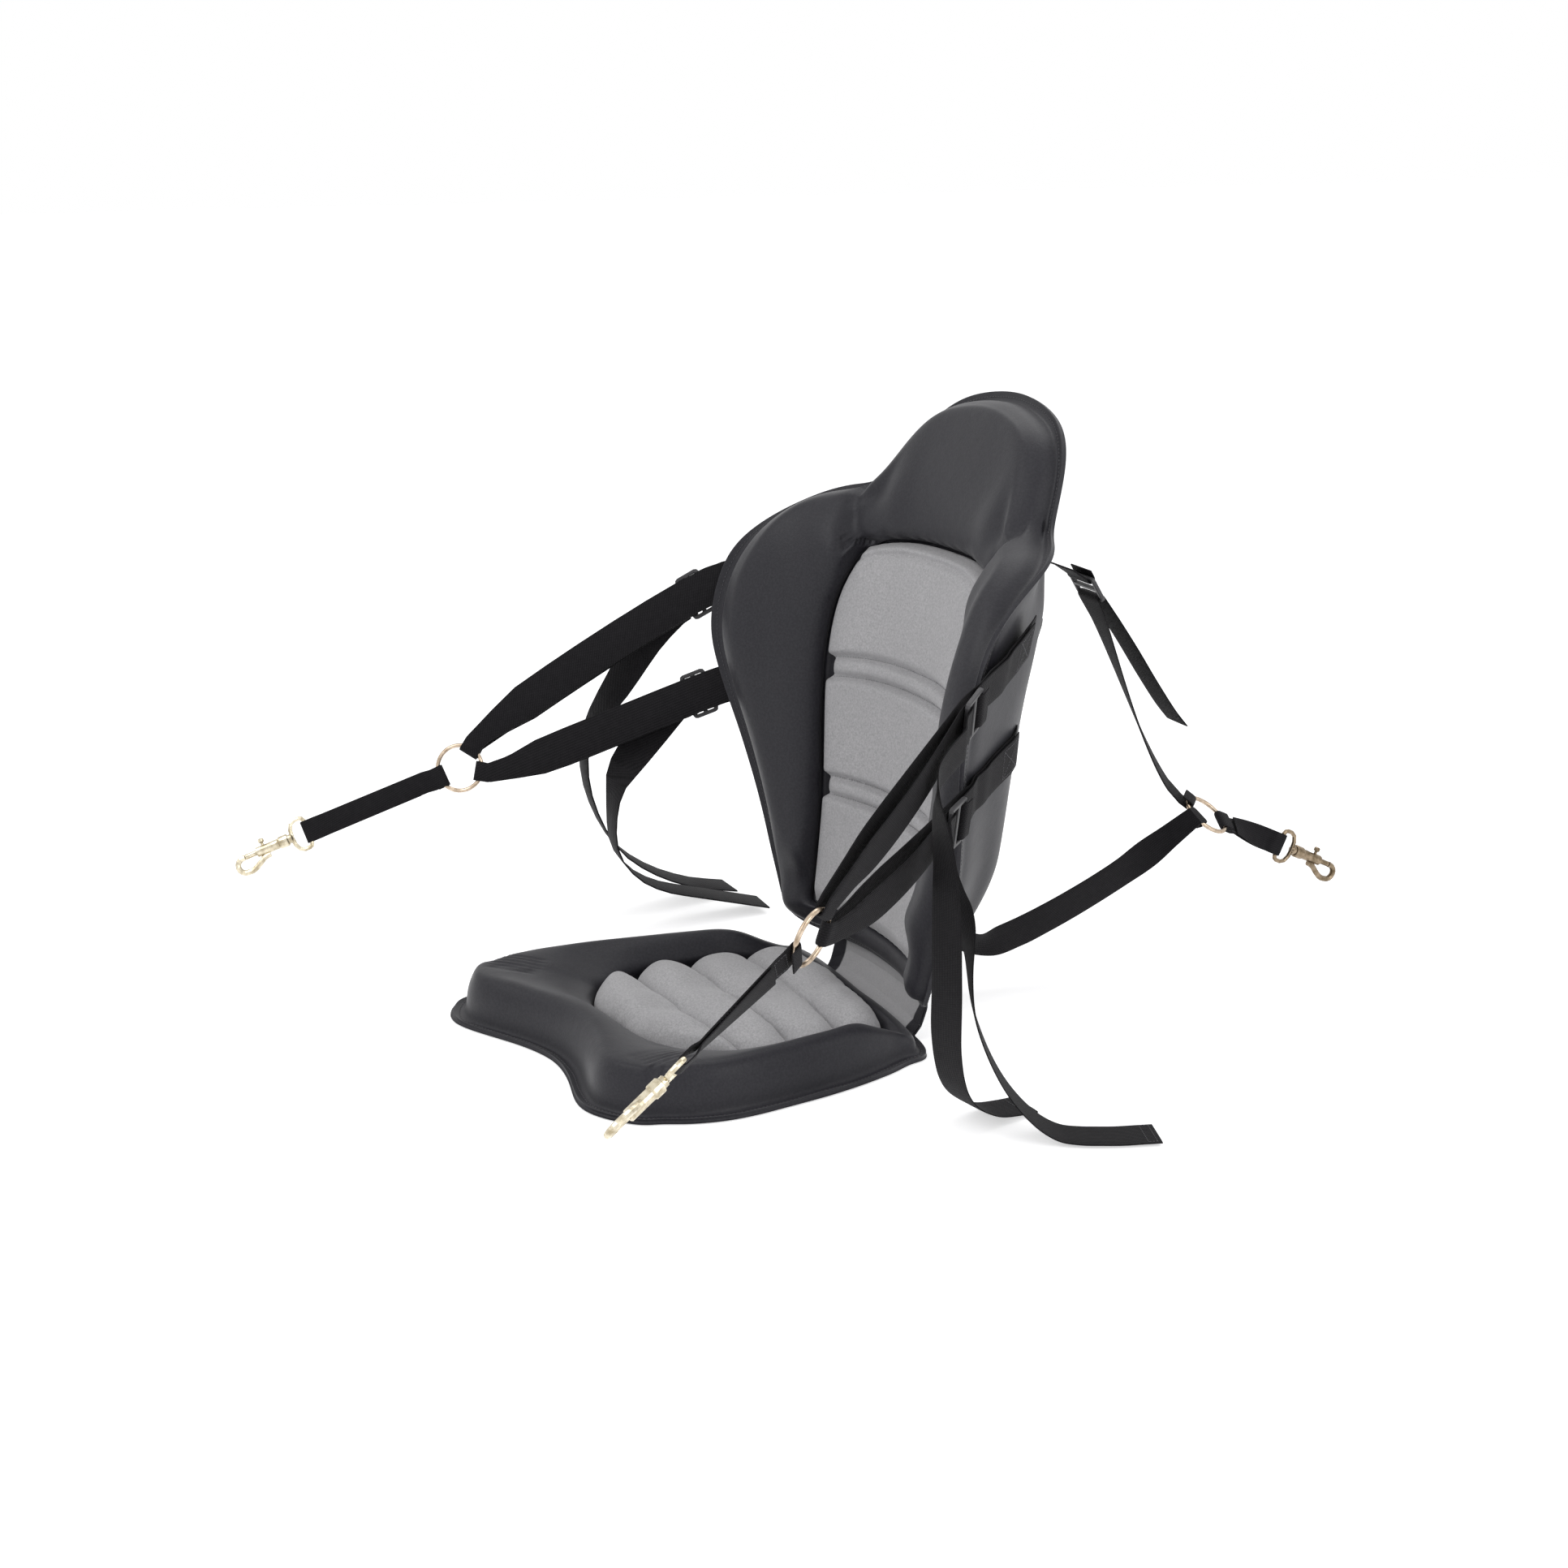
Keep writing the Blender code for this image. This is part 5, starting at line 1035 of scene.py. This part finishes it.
class Sewing:
    """Stitches gathered as one mesh."""

    def __init__(self):
        self.rows = []
        self.faces = []

    def capsule(self, middle, along, normal, length, radius):
        side = normal.cross(along)
        numbers = grid_numbers(len(self.rows), 4, 5)
        for share, width, drop in ((-0.5, 0.45, 0.9), (-0.30, 1.0, 0.1), (0.30, 1.0, 0.1), (0.5, 0.45, 0.9)):
            centre = middle + along * length * share - normal * radius * drop
            for corner in range(5):
                angle = 2 * math.pi * corner / 5
                outwards = side * math.cos(angle) + normal * math.sin(angle)
                self.rows.append(centre + outwards * radius * width)
        for a, b in zip(numbers, numbers[1:]):
            join_rings(self.faces, a, b)
        self.faces.append(tuple(reversed(numbers[0])))
        self.faces.append(tuple(numbers[-1]))

    def line(self, spots, normals, stitch):
        """Stitches along a line of places with their surface normals."""
        pitch, length, radius, lift = stitch
        run = 0.0
        target = pitch / 2
        for (a, na), (b, nb) in zip(zip(spots, normals), zip(spots[1:], normals[1:])):
            reach = (b - a).length
            if reach < 1e-7:
                continue
            along = (b - a) / reach
            while target <= run + reach:
                t = (target - run) / reach
                normal = na.lerp(nb, t)
                normal = (normal - along * normal.dot(along)).normalized()
                self.capsule(a.lerp(b, t) + normal * lift, along, normal, length, radius)
                target += pitch
            run += reach

    def box(self, stations, start, end, cross, reach):
        """A sewn box, with or without its cross, through a band between two places along it."""
        runs = [0.0]
        for a, b in zip(stations, stations[1:]):
            runs.append(runs[-1] + (b[0] - a[0]).length)
        if start < 0:
            start += runs[-1]
            end += runs[-1]
        low, high = min(start, end), max(start, end)
        lines = [((low, -reach), (high, -reach)), ((low, reach), (high, reach)),
                 ((low, -reach), (low, reach)), ((high, -reach), (high, reach))]
        if cross:
            lines += [((low, -reach), (high, reach)), ((low, reach), (high, -reach))]
        for (s0, a0), (s1, a1) in lines:
            for face in (-1.0, 1.0):
                made = [band_spot(stations, runs, lerp(s0, s1, t), lerp(a0, a1, t), face)
                        for t in even(12, 0.0, 1.0)]
                self.line(*zip(*made), BOX_STITCH)

    def finish(self, name, thread, slot):
        mesh = bpy.data.meshes.new(name)
        mesh.from_pydata([tuple(spot) for spot in self.rows], [], self.faces)
        new_piece(name, mesh, thread, "seat")


def band_spot(stations, runs, at, share, face):
    """A point on a band's face, its place given along and across the band, with the face's normal."""
    index = 0
    while index < len(runs) - 2 and runs[index + 1] < at:
        index += 1
    reach = max(1e-9, runs[index + 1] - runs[index])
    t = min(1.0, max(0.0, (at - runs[index]) / reach))
    middle, across, through = (a.lerp(b, t) for a, b in zip(stations[index], stations[index + 1]))
    return middle + across * share + through * face, through.normalized() * face


def sewn_boxes(name, run):
    """A strap's sewn boxes: start, end, crossed, share of its half width; from its far end if negative."""
    if name.endswith("_anchor"):
        return [(0.004, 0.030, True, 0.80)]
    if name == "rear_band":
        return [(0.004, 0.034, True, 0.80)]
    if name.startswith("hook_strap"):
        return [(run / 2 - 0.046, run / 2 - 0.026, True, 0.76), (0.030, 0.042, False, 0.76)]
    return [(-0.004, -0.012, False, 0.86)]


def surface_tree(piece):
    form = bmesh.new()
    form.from_mesh(piece.data)
    tree = BVHTree.FromBMesh(form)
    form.free()
    return tree


def rim_stitches(shell, name, outline, place, height, near_share, inset_by, faces, finish):
    """A row of stitches all the way round the sewn flange, on one or both of its faces."""
    tree = surface_tree(shell)
    sewing = Sewing()
    ring = inset(outline, inset_by, near_share)
    closed = catmull(ring + ring[:1], 6)
    for face in faces:
        found = [tree.find_nearest(place(spot, height * face)) for spot in closed]
        sewing.line([hit[0] for hit in found], [hit[1] for hit in found], RIM_STITCH)
    sewing.finish(name, finish, "charcoal_foam")


def panel_stitches(panel, name, spot_at, seams, aim_at, finish):
    """Rows of stitches down in the seams of a quilted panel."""
    tree = surface_tree(panel)
    sewing = Sewing()
    for v in seams:
        spots = []
        normals = []
        for u in even(40, -0.93, 0.93):
            at, aim = aim_at(spot_at(u, v))
            hit, normal, _, _ = tree.ray_cast(at - aim * 0.15, aim)
            if hit is not None:
                spots.append(hit)
                normals.append(normal if normal.dot(aim) < 0 else -normal)
        sewing.line(spots, normals, SEAM_STITCH)
    sewing.finish(name, finish, "grey_quilt")


# Rings

def frame_of_ring(node):
    """Centre, plane normal and in-plane axis of a ring of the frame."""
    spots = [vertex.co for vertex in node.data.vertices]
    centre = sum(spots, Vector()) / len(spots)
    first = max(spots, key=lambda spot: (spot - centre).length) - centre
    best = max(spots, key=lambda spot: first.cross(spot - centre).length) - centre
    normal = first.cross(best).normalized()
    return centre, normal, first.normalized()


def make_round_ring(name, node, finish):
    """A bent and welded wire ring, with its weld as a faint swelling."""
    centre, normal, first = frame_of_ring(node)
    second = normal.cross(first)
    major = max((vertex.co - centre).length for vertex in node.data.vertices) - RING_WIRE
    rows = []
    faces = []
    for i in range(RING_CELLS):
        angle = 2 * math.pi * i / RING_CELLS
        radial = first * math.cos(angle) + second * math.sin(angle)
        wire = RING_WIRE * (1.0 + RING_WELD * math.exp(-((angle - math.pi) / 0.05) ** 2))
        for j in range(RING_SIDES):
            turn = 2 * math.pi * j / RING_SIDES
            rows.append(centre + radial * (major + wire * math.cos(turn)) + normal * wire * math.sin(turn))
    rings = grid_numbers(0, RING_CELLS, RING_SIDES)
    for a, b in zip(rings, rings[1:] + rings[:1]):
        join_rings(faces, a, b)
    new_piece(name, mesh_from(name, rows, faces), finish, "seat", [node.name])


# Hinge cloth

def make_hinge(name, node, finish):
    """The fold's cloth, cut finer, slack between its seams and creased along the fold."""
    shape = bmesh.new()
    shape.from_mesh(node.data)
    bmesh.ops.triangulate(shape, faces=shape.faces[:])
    for _ in range(6):
        long = [edge for edge in shape.edges if edge.calc_length() > FOLD_CELL]
        if not long:
            break
        bmesh.ops.subdivide_edges(shape, edges=long, cuts=1)
        bmesh.ops.triangulate(shape, faces=shape.faces[:])
    shape.normal_update()
    for vertex, normal in still_normals(shape.verts):
        spot = vertex.co
        crease = noise.noise(Vector((spot.x * 9.0, spot.y * 110.0, spot.z * 110.0)))
        pucker = noise.noise(Vector((spot.x * 70.0, spot.y * 30.0, spot.z * 30.0 + 5.0)))
        vertex.co += normal * (FOLD_CREASE * crease + FOLD_PUCKER * pucker)
    mesh = bpy.data.meshes.new(name)
    shape.to_mesh(mesh)
    shape.free()
    new_piece(name, mesh, finish, "seat", [node.name])


# Studio

def make_camera():
    lens = bpy.data.cameras.new("camera")
    lens.lens = CAMERA_LENS
    lens.sensor_width = 36.0
    lens.sensor_fit = "HORIZONTAL"
    made = add_object("camera", lens)
    made.location = CAMERA_PLACE
    made.rotation_euler = (math.radians(90.0 - CAMERA_DROP), 0.0, math.radians(CAMERA_AZIMUTH))
    bpy.context.scene.camera = made


def make_floor():
    mesh = bpy.data.meshes.new("floor")
    corners = [(x * FLOOR_REACH, y * FLOOR_REACH, FLOOR_Z) for x, y in ((-1, -1), (1, -1), (1, 1), (-1, 1))]
    mesh.from_pydata(corners, [], [(0, 1, 2, 3)])
    made = add_object("floor", mesh)
    surface, shade = new_material("pale_floor", 0.9, specular=0.1)
    glow = shade.math("MULTIPLY", shade.seen_ray(), FLOOR_GLOW)
    shade.surface(Base_Color=FLOOR_COLOUR, Emission_Color=(1.0, 1.0, 1.0), Emission_Strength=glow)
    mesh.materials.append(surface)


def make_lights():
    for name, place, target, size, power in LIGHTS:
        lamp = bpy.data.lights.new(name, "AREA")
        lamp.shape = "RECTANGLE"
        lamp.size = size
        lamp.size_y = size
        lamp.energy = power
        made = add_object(name, lamp)
        made.location = place
        made.rotation_euler = (Vector(target) - Vector(place)).to_track_quat("-Z", "Y").to_euler()
    world = bpy.data.worlds.new("studio")
    shade = Shading(world)
    strength = shade.span(shade.seen_ray(), 0.0, 1.0, WORLD_GLOW, 1.0)
    shade.put(shade.tree.nodes["Background"], Color=(1.0, 1.0, 1.0), Strength=strength)
    bpy.context.scene.world = world
    bpy.context.scene.view_settings.view_transform = "Standard"


# The whole seat

def dress_padding(dark_thread, grey_thread):
    foam = foam_material()
    cloth = quilt_material()
    base = make_base_shell(foam)
    back = make_back_shell(foam)
    seat_panel = quilt("seat_panel", seat_panel_spot, base_place, seat_roll, BASE_FLOOR, PANEL_THICKNESS,
                       PANEL_CROWN, SEAT_END_GAP, (96, 168), cloth, ["base_liner"], 4.0, SEAT_SOFTNESS,
                       softened)
    back_panel = quilt("back_panel", back_panel_spot, back_place, back_roll, BACK_FLOOR, BACK_PANEL_THICKNESS,
                       BACK_PANEL_CROWN, BACK_END_GAP, (96, 240), cloth, ["back_liner"], 9.0, BACK_SOFTNESS)
    rim_stitches(base, "base_rim_stitching", full_outline(base_outline_parts()), base_place, BASE_FLANGE,
                 BASE_NEAR_SHARE, 0.005, (1.0,), dark_thread)
    rim_stitches(back, "back_rim_stitching", full_outline(back_outline_parts()), back_place, BACK_FLANGE,
                 BACK_NEAR_SHARE, 0.0045, (1.0, -1.0), dark_thread)
    seat_seams = [lerp(SEAT_END_GAP, 1.0 - SEAT_END_GAP, roll / PANEL_ROLLS)
                  for roll in range(1, PANEL_ROLLS)]
    panel_stitches(seat_panel, "seat_panel_stitching", seat_panel_spot, seat_seams,
                   lambda spot: (base_place(spot, 0.03), Vector((0.0, 0.0, -1.0))), grey_thread)
    back_seams = [lerp(BACK_STITCH_GAP, 1.0 - BACK_STITCH_GAP, roll / BACK_PANEL_ROLLS + line)
                  for roll in range(1, BACK_PANEL_ROLLS) for line in (-BACK_SEAM_SPREAD, BACK_SEAM_SPREAD)]
    panel_stitches(back_panel, "back_panel_stitching", back_panel_spot, back_seams,
                   lambda spot: (back_place(spot, 0.02), -back_normal(spot.x, spot.y)), grey_thread)


def dress_harness(nodes, dark_thread):
    """Webbing, its sewn boxes and the fold cloth; gives each strap's length."""
    web = webbing_material()
    lengths = {}
    sewing = Sewing()
    for name, node in nodes.items():
        if name.endswith(("_strap", "_anchor")) or name.startswith("hook_strap") or name == "rear_band":
            stations, lengths[name] = make_web(name + "_web", node, web)
            if stations is not None:
                for box in sewn_boxes(name, lengths[name]):
                    sewing.box(stations, *box)
    sewing.finish("strap_stitching", dark_thread, "black_webbing")
    make_hinge("hinge_fabric", nodes["hinge_cloth"], fold_material(FOLD_HALF_WIDTH))
    return lengths


def dress_fittings(nodes):
    plastic = plastic_material()
    bright = brass_material("brass_bright", *BRASS_BRIGHT)
    dull = brass_material("brass_dull", *BRASS_DULL)
    rose = brass_material("brass_ring", *BRASS_RING)
    for side in ("L", "R", "rear"):
        make_round_ring("ring_wire_" + side, nodes["ring_" + side], rose)
    for name, node in nodes.items():
        finish = None
        if name.endswith("_buckle") or name.startswith("pack_buckle"):
            finish = plastic
        if name.startswith(("snap_hook", "bolt_", "swivel_eye")):
            finish = dull if name.endswith("rear") else bright
        if finish is not None:
            node.data.materials.clear()
            node.data.materials.append(finish)


def main():
    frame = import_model()
    nodes = frame["nodes"]
    make_camera()
    make_floor()
    make_lights()
    dark_thread = thread_material("dark_thread", *DARK_THREAD_TONES)
    grey_thread = thread_material("grey_thread", *GREY_THREAD_TONES)
    dress_padding(dark_thread, grey_thread)
    lengths = dress_harness(nodes, dark_thread)
    dress_fittings(nodes)

    print("strap lengths", {name: round(run, 4) for name, run in lengths.items()})


main()
